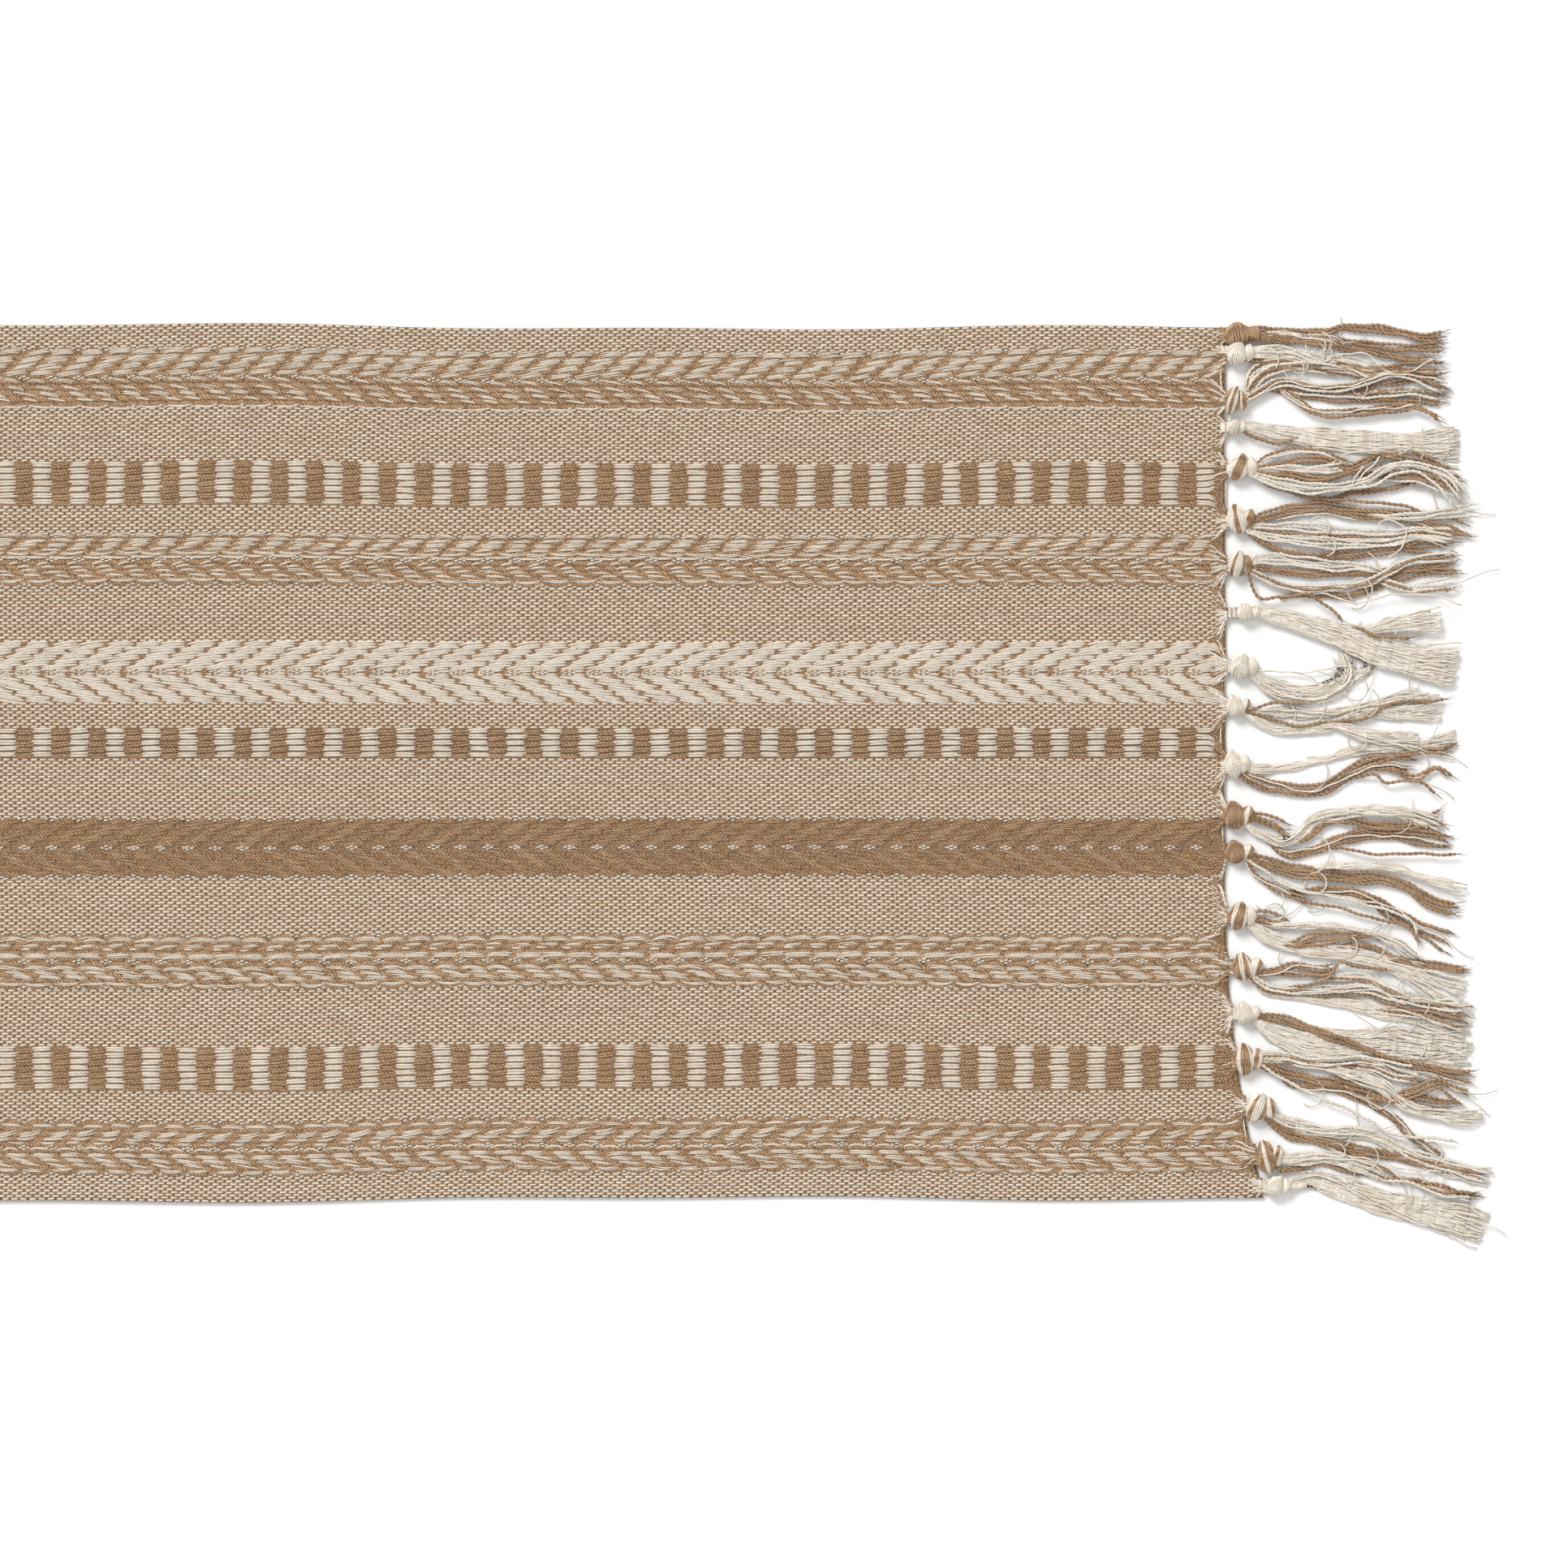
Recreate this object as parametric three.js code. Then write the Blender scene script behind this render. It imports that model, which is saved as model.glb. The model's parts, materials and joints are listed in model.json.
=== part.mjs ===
// Woven cotton table runner with knotted tassels along both ends.
// Millimetres. +X runs along the runner, +Y across it, +Z up; the underside lies on z = 0.
// The outline is point symmetric: the left end is the right end turned half a turn about Z.
import * as THREE from 'three';

// Driving dimensions
const HALF_LENGTH = 914.4;       // half of the 72 in woven length
const HALF_WIDTH = 190.5;        // half of the 15 in woven width
const GROUND_THICKNESS = 1.5;    // plain weave ground
const BAND_THICKNESS = 0.8;      // long warp floats lying on the ground
const GAP = 0.3;                 // clearance between neighbouring solids
const FOLD_X = 762;              // fold line over the end of a 60 in table top
const CORNER_SKEW = 17;          // how far the +X, -Y corner runs past the straight end
const SKEW_START_Y = -60;        // where the end edge starts to lean out

// The fold axis lies one gap above the highest yarn, so a drop swings either way without touching
const TOTAL_THICKNESS = GROUND_THICKNESS + GAP + BAND_THICKNESS;
const FOLD_CLEARANCE = TOTAL_THICKNESS + 2 * GAP;
const CENTRE_HALF_LENGTH = FOLD_X - FOLD_CLEARANCE;
const BAND_END_INSET = 2;        // the floats stop just short of the woven end

// Tassel proportions, along the tassel from its hinge at the woven end
const KNOT_START = 1.5;
const KNOT_LENGTH = 12;
const KNOT_HALF_HEIGHT = 4.2;
const NECK_HALF_WIDTH = 3;
const NECK_HALF_HEIGHT = 2.2;
const SKIRT_HALF_HEIGHT = 2.4;
const TIP_HALF_HEIGHT = 1.5;
const REST_LIFT = 0.2;           // the lowest yarn of a tassel is this far above the table
const RING_SIDES = 8;
const SKIRT_RINGS = 7;

const cream = { color: 0xe2d7c2, roughness: 0.9, metalness: 0 };
const tan = { color: 0xc3ab8b, roughness: 0.92, metalness: 0 };
const brown = { color: 0xa88765, roughness: 0.9, metalness: 0 };

// Pattern bands from the +Y selvedge to the -Y selvedge: centre line, width, yarn
const BRAID_BANDS = [
  { name: 'braid_band_1', y: 167.5, width: 26, yarn: cream },
  { name: 'braid_band_2', y: 88.5, width: 23, yarn: cream },
  { name: 'braid_band_3', y: -86.5, width: 24, yarn: cream },
  { name: 'braid_band_4', y: -167.5, width: 24, yarn: brown },
];
const FLAT_BANDS = [
  { name: 'check_band_1', y: 121.5, width: 19, yarn: cream },
  { name: 'chevron_band_cream', y: 39.5, width: 26, yarn: cream },
  { name: 'check_band_2', y: 8.5, width: 13, yarn: cream },
  { name: 'chevron_band_brown', y: -37, width: 25.5, yarn: brown },
  { name: 'check_band_3', y: -133, width: 19, yarn: cream },
];

// The twenty tassels of one end, from +Y to -Y.
// knot: y and half width; mid, tip: x past the straight end, y, and half width of the skirt there
const TASSELS = [
  { knot: [186.9, 4.0], mid: [47, 185.0, 4.0], tip: [95, 182.3, 5.0], yarn: brown },
  { knot: [178.6, 3.9], mid: [47, 175.2, 4.2], tip: [100, 169.8, 5.5], yarn: cream },
  { knot: [157.9, 6.0], mid: [47, 160.5, 8.5], tip: [99, 156.5, 6.3], yarn: tan },
  { knot: [146.2, 4.0], mid: [54, 139.8, 4.0], tip: [104, 137.4, 6.0], yarn: cream },
  { knot: [128.9, 6.0], mid: [54, 125.5, 9.0], tip: [104, 122.1, 7.7], yarn: tan },
  { knot: [106.2, 6.2], mid: [54, 101.0, 8.5], tip: [107, 101.0, 9.0], yarn: tan },
  { knot: [86.4, 6.0], mid: [54, 82.0, 8.5], tip: [102, 82.0, 8.5], yarn: tan },
  { knot: [65.5, 4.3], mid: [54, 55.0, 6.0], tip: [102, 46.0, 7.5], yarn: cream },
  { knot: [42.1, 6.0], mid: [44, 34.0, 6.5], tip: [93, 34.5, 3.0], yarn: cream },
  { knot: [24.8, 5.3], mid: [44, 17.0, 6.5], tip: [99, 25.0, 5.5], yarn: cream },
  { knot: [-0.4, 6.3], mid: [44, -3.5, 9.0], tip: [102, 1.8, 10.0], yarn: cream },
  { knot: [-22.7, 6.3], mid: [44, -31.9, 8.0], tip: [99, -30.0, 9.0], yarn: brown },
  { knot: [-38.6, 5.3], mid: [47, -51.3, 8.0], tip: [99, -67.3, 9.0], yarn: brown },
  { knot: [-66.6, 6.2], mid: [54, -79.7, 6.5], tip: [107, -93.8, 6.7], yarn: tan },
  { knot: [-88.7, 6.2], mid: [54, -98.4, 6.5], tip: [108, -110.4, 6.7], yarn: tan },
  { knot: [-109.0, 5.3], mid: [54, -122.1, 6.0], tip: [109, -131.0, 7.0], yarn: cream },
  { knot: [-129.0, 6.5], mid: [54, -138.0, 7.0], tip: [104, -149.4, 8.5], yarn: tan },
  { knot: [-150.1, 6.3], mid: [61, -163.0, 5.0], tip: [115, -178.0, 5.0], yarn: tan },
  { knot: [-171.5, 6.0], mid: [61, -174.5, 4.5], tip: [113, -189.5, 5.0], yarn: brown },
  { knot: [-184.4, 5.2], mid: [68, -187.0, 5.0], tip: [121, -205.3, 6.5], yarn: cream },
];

// Where the woven end of the right drop lies at a given y
function wovenEnd(y) {
  const lean = Math.max(0, SKEW_START_Y - y) / (HALF_WIDTH + SKEW_START_Y);
  return HALF_LENGTH + CORNER_SKEW * lean * lean;
}

function closedGeometry(points, triangles) {
  const geometry = new THREE.BufferGeometry();
  geometry.setAttribute('position', new THREE.Float32BufferAttribute(points.flat(), 3));
  geometry.setIndex(triangles.flat());
  geometry.computeVertexNormals();
  return geometry;
}

// Skin over rings that follow each other, each counter-clockwise as seen from the end they run to
function loft(rings) {
  const sides = rings[0].length;
  const points = rings.flat();
  const triangles = [];
  for (let i = 0; i + 1 < rings.length; i++) {
    for (let k = 0; k < sides; k++) {
      const a = i * sides + k;
      const b = i * sides + (k + 1) % sides;
      triangles.push([a, b, b + sides], [a, b + sides, a + sides]);
    }
  }
  const last = (rings.length - 1) * sides;
  for (let k = 1; k + 1 < sides; k++) {
    triangles.push([0, k + 1, k], [last, last + k, last + k + 1]);
  }
  return closedGeometry(points, triangles);
}

// Flat cloth built across its width: columns of [y, underside, top], each run along X
function clothStrip(columns, startX, endX) {
  return loft(columns.map(([y, low, high]) => [
    [startX(y), y, low],
    [startX(y), y, high],
    [endX(y), y, high],
    [endX(y), y, low],
  ]));
}

// Ground cloth columns; ridges are the flat bands, woven in one piece with a drop's ground
function groundColumns(ridges) {
  const step = 12.7;
  const edge = 1;
  const crest = GROUND_THICKNESS + BAND_THICKNESS;
  let columns = [];
  for (let i = 0; i <= 2 * HALF_WIDTH / step; i++) {
    columns.push([-HALF_WIDTH + i * step, 0, GROUND_THICKNESS]);
  }
  for (const { y, width } of ridges) {
    const half = width / 2;
    columns = columns.filter(([v]) => Math.abs(v - y) > half + edge);
    columns.push([y - half, 0, GROUND_THICKNESS], [y - half + edge, 0, crest]);
    columns.push([y + half - edge, 0, crest], [y + half, 0, GROUND_THICKNESS]);
  }
  return columns.sort((a, b) => a[0] - b[0]);
}

// A band's floats rise from low sides to a flat crown
function bandColumns({ y, width }) {
  const low = GROUND_THICKNESS + GAP;
  const shoulder = low + BAND_THICKNESS / 2;
  const high = low + BAND_THICKNESS;
  const half = width / 2;
  const slope = 1.5;
  return [
    [y - half, low, shoulder],
    [y - half + slope, low, high],
    [y + half - slope, low, high],
    [y + half, low, shoulder],
  ];
}

function ring(x, y, halfWidth, halfHeight) {
  const points = [];
  for (let k = 0; k < RING_SIDES; k++) {
    const angle = 2 * Math.PI * (k + 0.5) / RING_SIDES;
    points.push([
      x,
      y + halfWidth * Math.cos(angle),
      REST_LIFT + halfHeight * (1 + Math.sin(angle)),
    ]);
  }
  return points;
}

// One tassel: a round knot hard against the woven end, and the skirt of loose warp ends behind it
function tasselGeometry({ knot, mid, tip }) {
  const [knotY, knotHalf] = knot;
  const hingeX = wovenEnd(knotY);
  const rings = [];
  const bulge = [[0, 0.4], [0.18, 0.84], [0.45, 1], [0.72, 0.93], [0.9, 0.66]];
  for (const [share, size] of bulge) {
    const x = hingeX + KNOT_START + share * KNOT_LENGTH;
    rings.push(ring(x, knotY, size * knotHalf, size * KNOT_HALF_HEIGHT));
  }
  const neck = new THREE.Vector3(hingeX + KNOT_START + KNOT_LENGTH, knotY, 0);
  const middle = new THREE.Vector3(HALF_LENGTH + mid[0], mid[1], 0);
  const end = new THREE.Vector3(HALF_LENGTH + tip[0], tip[1], 0);
  const path = new THREE.CatmullRomCurve3([neck, middle, end]);
  for (let i = 0; i < SKIRT_RINGS; i++) {
    const t = i / (SKIRT_RINGS - 1);
    const p = path.getPoint(t);
    const opening = Math.sin(Math.PI * Math.min(t, 0.5));
    const halfWidth = t < 0.5
      ? THREE.MathUtils.lerp(NECK_HALF_WIDTH, mid[2], opening)
      : THREE.MathUtils.lerp(mid[2], tip[2], 2 * t - 1);
    const halfHeight = t < 0.5
      ? THREE.MathUtils.lerp(NECK_HALF_HEIGHT, SKIRT_HALF_HEIGHT, opening)
      : THREE.MathUtils.lerp(SKIRT_HALF_HEIGHT, TIP_HALF_HEIGHT, 2 * t - 1);
    rings.push(ring(p.x, p.y, halfWidth, halfHeight));
  }
  return loft(rings);
}

function piece(name, geometry, yarn) {
  const mesh = new THREE.Mesh(geometry, new THREE.MeshStandardMaterial(yarn));
  mesh.name = name;
  return mesh;
}

function centrePanel() {
  const group = new THREE.Group();
  const start = () => -CENTRE_HALF_LENGTH;
  const end = () => CENTRE_HALF_LENGTH;
  group.add(piece('ground_centre', clothStrip(groundColumns([]), start, end), tan));
  for (const band of [...BRAID_BANDS, ...FLAT_BANDS]) {
    group.add(piece(`${band.name}_centre`, clothStrip(bandColumns(band), start, end), band.yarn));
  }
  return group;
}

// One end of the runner past its fold line, modelled at +X.
// turned is -1 for the end that is then turned about Z, so that its bands still meet the centre's.
function endPanel(side, turned) {
  const group = new THREE.Group();
  const here = (band) => ({ ...band, y: turned * band.y });
  const start = () => FOLD_X;
  const bandEnd = (y) => wovenEnd(y) - BAND_END_INSET;
  const ground = clothStrip(groundColumns(FLAT_BANDS.map(here)), start, wovenEnd);
  group.add(piece(`ground_${side}`, ground, tan));
  for (const band of BRAID_BANDS) {
    const floats = clothStrip(bandColumns(here(band)), start, bandEnd);
    group.add(piece(`${band.name}_${side}`, floats, band.yarn));
  }
  TASSELS.forEach((tassel, i) => {
    const number = String(i + 1).padStart(2, '0');
    group.add(piece(`tassel_${side}_${number}`, tasselGeometry(tassel), tassel.yarn));
  });
  return group;
}

const runner = new THREE.Group();
runner.add(centrePanel());
runner.add(endPanel('right', 1));
const leftEnd = endPanel('left', -1);
leftEnd.rotation.z = Math.PI;
runner.add(leftEnd);

export default runner;
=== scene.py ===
"""Cotton table runner with knotted tassels: the woven, yarn-by-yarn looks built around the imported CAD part.

Metres, row frame: +X along the runner, +Y across it, +Z up, the underside on z = 0.
"""

import json
import math

import bpy
import numpy as np
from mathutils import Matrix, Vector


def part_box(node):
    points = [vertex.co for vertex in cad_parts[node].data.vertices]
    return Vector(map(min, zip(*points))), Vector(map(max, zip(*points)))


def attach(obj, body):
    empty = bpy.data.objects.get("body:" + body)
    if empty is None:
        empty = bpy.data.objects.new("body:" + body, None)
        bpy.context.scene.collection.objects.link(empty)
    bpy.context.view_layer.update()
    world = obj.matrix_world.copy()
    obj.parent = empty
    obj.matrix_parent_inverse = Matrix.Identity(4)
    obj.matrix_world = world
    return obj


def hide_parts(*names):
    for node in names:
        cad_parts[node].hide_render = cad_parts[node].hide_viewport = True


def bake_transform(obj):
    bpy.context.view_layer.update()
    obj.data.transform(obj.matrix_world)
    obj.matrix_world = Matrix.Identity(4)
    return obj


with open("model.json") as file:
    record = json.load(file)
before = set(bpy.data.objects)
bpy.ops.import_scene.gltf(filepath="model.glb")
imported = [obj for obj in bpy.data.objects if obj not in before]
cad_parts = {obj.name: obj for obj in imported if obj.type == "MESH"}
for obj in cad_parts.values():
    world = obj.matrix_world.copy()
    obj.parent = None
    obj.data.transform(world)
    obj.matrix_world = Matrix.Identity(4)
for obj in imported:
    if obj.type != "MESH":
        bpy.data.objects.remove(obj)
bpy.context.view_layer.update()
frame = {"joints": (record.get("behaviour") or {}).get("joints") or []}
MM = 0.001
random = np.random.default_rng(20)

# ---------------------------------------------------------------- places taken from the frame
JOINTS = {joint["name"]: joint for joint in frame["joints"]}
GROUND_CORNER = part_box("ground_right")[1]
HALF_WIDTH = GROUND_CORNER.y
SIDES = {"right": 1.0, "left": -1.0}
TASSEL_COUNT = 20


def swing(side, number):
    """Where a tassel hangs on the woven end: x, y and z of its hinge."""
    return JOINTS[f"tassel_{side}_{number:02d}_swing"]["pos_m"]


# The woven end of the right side as y, x pairs; the left end is the same turned half a turn
END_LINE = sorted(
    [(-HALF_WIDTH, GROUND_CORNER.x)] + [tuple(swing("right", n + 1)[1::-1]) for n in range(TASSEL_COUNT)]
)
END_Y, END_X = (np.array(column) for column in zip(*END_LINE))
KNOT_Y = np.array([swing("right", n + 1)[1] for n in range(TASSEL_COUNT)])

# ---------------------------------------------------------------- the weave, in metres
DASH_PITCH = 3.96 * MM
ROW_PITCH = 1.27 * MM
CHECK_PITCH = 4 * DASH_PITCH
TWILL_PITCH = 3 * DASH_PITCH
TILE = 24 * DASH_PITCH  # every pattern repeats in it, so one bake tile serves the whole cloth
BAND_NODES = {"cream": "chevron_band_cream", "brown": "chevron_band_brown"}
BAND_NODES.update({f"braid_{n}": f"braid_band_{n}" for n in (1, 2, 3, 4)})
BAND_NODES.update({f"check_{n}": f"check_band_{n}" for n in (1, 2, 3)})
BANDS = {}  # centre and width of each band across the cloth
for key, node in BAND_NODES.items():
    low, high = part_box(node + "_centre")
    BANDS[key] = ((low.y + high.y) / 2, high.y - low.y)
PAST_HINGE = 1.6 * MM  # the woven end lies this far past the hinge line, so that the knots touch it
SHEET_SHORT = 1.0 * MM  # the ground sheet stops this much before the woven end, under its last yarns


def woven_end(y, side):
    """Distance from the middle of the runner to its woven end at y."""
    return np.interp(y * side, END_Y, END_X) + PAST_HINGE


def nearest_knot(y, side):
    """The y of the tassel that takes the warp at y."""
    knots = KNOT_Y * side
    return knots[np.abs(np.asarray(y)[..., None] - knots).argmin(axis=-1)]


def band_edges():
    """Both edges of every band, from -Y to +Y."""
    return sorted((c - w / 2, c + w / 2) for c, w in BANDS.values())


def row_count(low, high):
    """Rows of plain weave that fit between two heights."""
    return max(1, round((high - low) / ROW_PITCH))


def drift(y):
    """How far along the cloth a plain row is shifted."""
    return 0.11 * DASH_PITCH * np.sin(170 * y)


def smooth(t):
    """An even step from 0 to 1."""
    t = np.clip(t, 0, 1)
    return t * t * (3 - 2 * t)


def lay(points):
    """How the cloth lies: edges that wander a little and low undulations."""
    x, y, z = points[:, 0], points[:, 1], points[:, 2]
    across = y / HALF_WIDTH
    width = 1 + 0.005 * np.cos(math.pi * x / 0.92)
    wander = 0.0008 * np.sin(15.5 * x + 0.6) + 0.0005 * np.sin(37 * x + 2.1)
    lift = 0.5 + 0.3 * np.sin(9 * x + 11 * y) + 0.2 * np.sin(23 * x - 17 * y + 1.3)
    return np.column_stack([x, y * width + wander * across, z + 0.0006 * lift])


# ---------------------------------------------------------------- meshes from arrays
class Batch:
    """Vertices, faces and two UV layers gathered from many small closed shapes."""

    def __init__(self):
        self.points, self.faces, self.uvs, self.bakes, self.slots = [], [], [], [], []
        self.count = 0

    def add(self, points, uv, bake, *faces, slot=0):
        """Points with their two UVs, and arrays of faces of 3 or 4 corners each."""
        self.points.append(points)
        for group in faces:
            corners = group.ravel()
            self.faces.append(group + self.count)
            self.uvs.append(uv[corners])
            self.bakes.append(bake[corners])
            self.slots.append(np.full(len(group), slot))
        self.count += len(points)

    def build(self, name, *materials):
        """The object that the shapes make, smooth shaded."""
        mesh = bpy.data.meshes.new(name)
        points = np.concatenate(self.points)
        sizes = np.concatenate([np.full(len(f), f.shape[1]) for f in self.faces])
        corners = np.concatenate([f.ravel() for f in self.faces])
        mesh.vertices.add(len(points))
        mesh.vertices.foreach_set("co", points.astype(np.float32).ravel())
        mesh.loops.add(len(corners))
        mesh.loops.foreach_set("vertex_index", corners.astype(np.int32))
        mesh.polygons.add(len(sizes))
        starts = np.concatenate([[0], np.cumsum(sizes)[:-1]])
        mesh.polygons.foreach_set("loop_start", starts.astype(np.int32))
        mesh.polygons.foreach_set("material_index", np.concatenate(self.slots).astype(np.int32))
        mesh.polygons.foreach_set("use_smooth", np.full(len(sizes), True))
        mesh.update(calc_edges=True)
        for layer, values in (("weave", self.uvs), ("OFBake", self.bakes)):
            uv = mesh.uv_layers.new(name=layer)
            uv.data.foreach_set("uv", np.concatenate(values).astype(np.float32).ravel())
        mesh.validate()
        thing = bpy.data.objects.new(name, mesh)
        bpy.context.scene.collection.objects.link(thing)
        for material in materials:
            mesh.materials.append(material)
        return thing


# ---------------------------------------------------------------- materials
class Look:
    """A Principled material, and short calls for the nodes of its procedural pattern."""

    def __init__(self, name, roughness, sheen):
        self.material = bpy.data.materials.new(name)
        self.material.use_nodes = True
        self.nodes, self.links = self.material.node_tree.nodes, self.material.node_tree.links
        self.inputs = self.nodes["Principled BSDF"].inputs
        for socket, value in (("Roughness", roughness), ("Sheen Weight", sheen), ("Specular IOR Level", 0.2)):
            self.inputs[socket].default_value = value

    def axes(self, layer="weave"):
        """The two axes of a UV layer."""
        split = self.nodes.new("ShaderNodeSeparateXYZ")
        self.links.new(self.uv(layer), split.inputs["Vector"])
        return split.outputs["X"], split.outputs["Y"]

    def uv(self, layer="weave"):
        node = self.nodes.new("ShaderNodeUVMap")
        node.uv_map = layer
        return node.outputs["UV"]

    def noise(self, scale, detail=2.0):
        mapping = self.nodes.new("ShaderNodeMapping")
        mapping.inputs["Scale"].default_value = scale
        self.links.new(self.uv(), mapping.inputs["Vector"])
        texture = self.nodes.new("ShaderNodeTexNoise")
        texture.inputs["Scale"].default_value = 1.0
        texture.inputs["Detail"].default_value = detail
        self.links.new(mapping.outputs["Vector"], texture.inputs["Vector"])
        return texture.outputs["Fac"]

    def math(self, operation, *inputs):
        node = self.nodes.new("ShaderNodeMath")
        node.operation = operation
        for socket, value in zip(node.inputs, inputs):
            if isinstance(value, (int, float)):
                socket.default_value = value
            else:
                self.links.new(value, socket)
        return node.outputs["Value"]

    def total(self, *parts):
        """The sum of values, each times its weight."""
        so_far = 0.0
        for value, weight in parts:
            so_far = self.math("MULTIPLY_ADD", value, weight, so_far)
        return so_far

    def ramp(self, value, positions, colours, mode="LINEAR"):
        node = self.nodes.new("ShaderNodeValToRGB")
        node.color_ramp.interpolation = mode
        elements = node.color_ramp.elements
        elements.remove(elements[0])
        elements[0].position, elements[0].color = positions[0], (*colours[0], 1)
        for position, colour in zip(positions[1:], colours[1:]):
            elements.new(position).color = (*colour, 1)
        self.links.new(value, node.inputs["Fac"])
        return node.outputs["Color"]

    def mix(self, factor, *colours):
        node = self.nodes.new("ShaderNodeMix")
        node.data_type = "RGBA"
        self.links.new(factor, node.inputs["Factor"])
        for socket, colour in zip([s for s in node.inputs if s.type == "RGBA"], colours):
            self.links.new(colour, socket)
        return next(s for s in node.outputs if s.type == "RGBA")

    def finish(self, colour, height, distance):
        """Take the base colour from a node, and the bump from a height."""
        self.links.new(colour, self.inputs["Base Color"])
        node = self.nodes.new("ShaderNodeBump")
        node.inputs["Strength"].default_value = 1.0
        node.inputs["Distance"].default_value = distance
        self.links.new(height, node.inputs["Height"])
        self.links.new(node.outputs["Normal"], self.inputs["Normal"])
        return self.material


# Shades from dark to bright
FLOAT_CREAM = ((0.45, 0.37, 0.28), (0.69, 0.615, 0.52), (0.79, 0.715, 0.63))
FLOAT_BROWN = ((0.17, 0.092, 0.042), (0.38, 0.236, 0.132), (0.52, 0.35, 0.215))
DASH_CREAM = ((0.5, 0.41, 0.31), (0.74, 0.655, 0.55), (0.84, 0.765, 0.67))
# The tan weft; its nearly black darkest stop is painted shade for the pinholes between dashes
WEFT_TAN_AND_HOLE_SHADE = ((0.045, 0.024, 0.011), (0.33, 0.215, 0.128), (0.42, 0.285, 0.18))
STRAND_CREAM = ((0.67, 0.58, 0.465), (0.85, 0.775, 0.67), (0.92, 0.86, 0.775))
STRAND_BROWN = ((0.19, 0.105, 0.05), (0.4, 0.25, 0.145), (0.54, 0.365, 0.23))


def yarn_material(name, shades, across, ply):
    """Loose spun yarn: fine fibres along it, slow changes of tone, and slanting stripes where it is plied, painted
    shade in the twist's grooves and lighter on its ridges.
    """
    look = Look(name, 0.88, 0.06)
    fibres = look.noise((330, across, 1), 3.0)
    slow = look.noise((60, 160, 1), 1.0)
    x, y = look.axes()
    slope = look.math("MULTIPLY_ADD", y, 3600.0, look.math("MULTIPLY", x, 4400.0))
    # painted shade: slanting dark and light stripes darken the colour in the twist's grooves and lighten it on the
    # ridges; the same stripes also drive the bump
    ply_shade_marks = look.math("SINE", look.math("MULTIPLY_ADD", look.noise((350, 350, 1), 1.0), 9.0, slope))
    value = look.total((fibres, 0.72), (slow, 0.28), (ply_shade_marks, ply))
    return look.finish(look.ramp(value, (0.27, 0.47, 0.68), shades), value, 0.0007)


def strand_material(name, shades):
    """Plied yarn: two strands with painted shade in the groove between them and lighter ridges, fine fibres and slow
    changes of tone.
    """
    look = Look(name, 0.85, 0.06)
    # painted shade: the colour darkens in the groove between the two plies and lightens on their ridges
    groove_shade = look.math("COSINE", look.math("MULTIPLY", look.axes()[1], 2 * math.pi / ROUND))
    fibres = look.noise((420, 1400, 1), 3.0)
    slow = look.noise((55, 20, 1), 1.0)
    value = look.total((fibres, 0.55), (slow, 0.45), (groove_shade, 0.13))
    return look.finish(look.ramp(value, (0.3, 0.46, 0.64), shades), fibres, 0.0005)


def ground_material():
    """The tan weft under the dashes, with painted shade for a dark pinhole between two dashes, and plain brown weft
    in the bands, kept dark as painted shade in the gaps between their floats.
    """
    look = Look("ground_weave", 0.92, 0.05)
    x, row = look.axes()
    # painted shade: nearly black pinholes between two dashes, through the darkest of the weft's shades
    along = look.math("COSINE", look.math("MULTIPLY", x, 2 * math.pi / DASH_PITCH))
    pinhole_shade = look.math("MULTIPLY", along, look.math("COSINE", look.math("MULTIPLY", row, math.pi)))
    squared = look.math("MULTIPLY", pinhole_shade, pinhole_shade)
    pinhole_shade = look.math("MULTIPLY", pinhole_shade, look.math("MULTIPLY", squared, squared))
    rough = look.noise((900, 2.2, 1))
    value = look.math("MULTIPLY_ADD", pinhole_shade, 0.42, look.math("ADD", rough, 0.12))
    weft = look.ramp(value, (0.28, 0.48, 0.85), WEFT_TAN_AND_HOLE_SHADE)
    edges = [edge / HALF_WIDTH * 0.5 + 0.5 for band in band_edges() for edge in band]
    in_band = look.ramp(
        look.axes("OFBake")[1], [0.0, *edges], [(0, 0, 0)] + [(1, 1, 1), (0, 0, 0)] * len(BANDS), "CONSTANT"
    )
    # the bands' brown weft, kept to the brown yarn's darker shades as painted shade in the gaps between their floats
    brown_bed_and_shade = look.ramp(rough, (0.3, 0.6), FLOAT_BROWN[:2])
    return look.finish(look.mix(in_band, weft, brown_bed_and_shade), value, 0.0012)


ROUND = 4 * MM  # what once round a strand counts for in its own weave UV
cream_yarn = yarn_material("cream_yarn", FLOAT_CREAM, 3200, 0.03)
brown_yarn = yarn_material("brown_yarn", FLOAT_BROWN, 2600, 0.17)
dash_yarn = yarn_material("dash_yarn", DASH_CREAM, 1800, 0.0)
ground_weave = ground_material()
cream_strand = strand_material("cream_strand", STRAND_CREAM)
brown_strand = strand_material("brown_strand", STRAND_BROWN)


# ---------------------------------------------------------------- the ground cloth
WHOLE_COLUMNS = 225  # columns of the sheet that are one dash wide
EDGE_COLUMNS = 6  # and those that follow the slanting woven end
THIN = 1.45 * MM  # the top of the sheet, on which the yarns lie
BOTTOM = 0.05 * MM


def tiled(flat):
    """Bake UVs: along the cloth in repeats of the weave, across it once."""
    return np.column_stack([np.abs(flat[:, 0]) / TILE, flat[:, 1] / HALF_WIDTH * 0.5 + 0.5])


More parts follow.
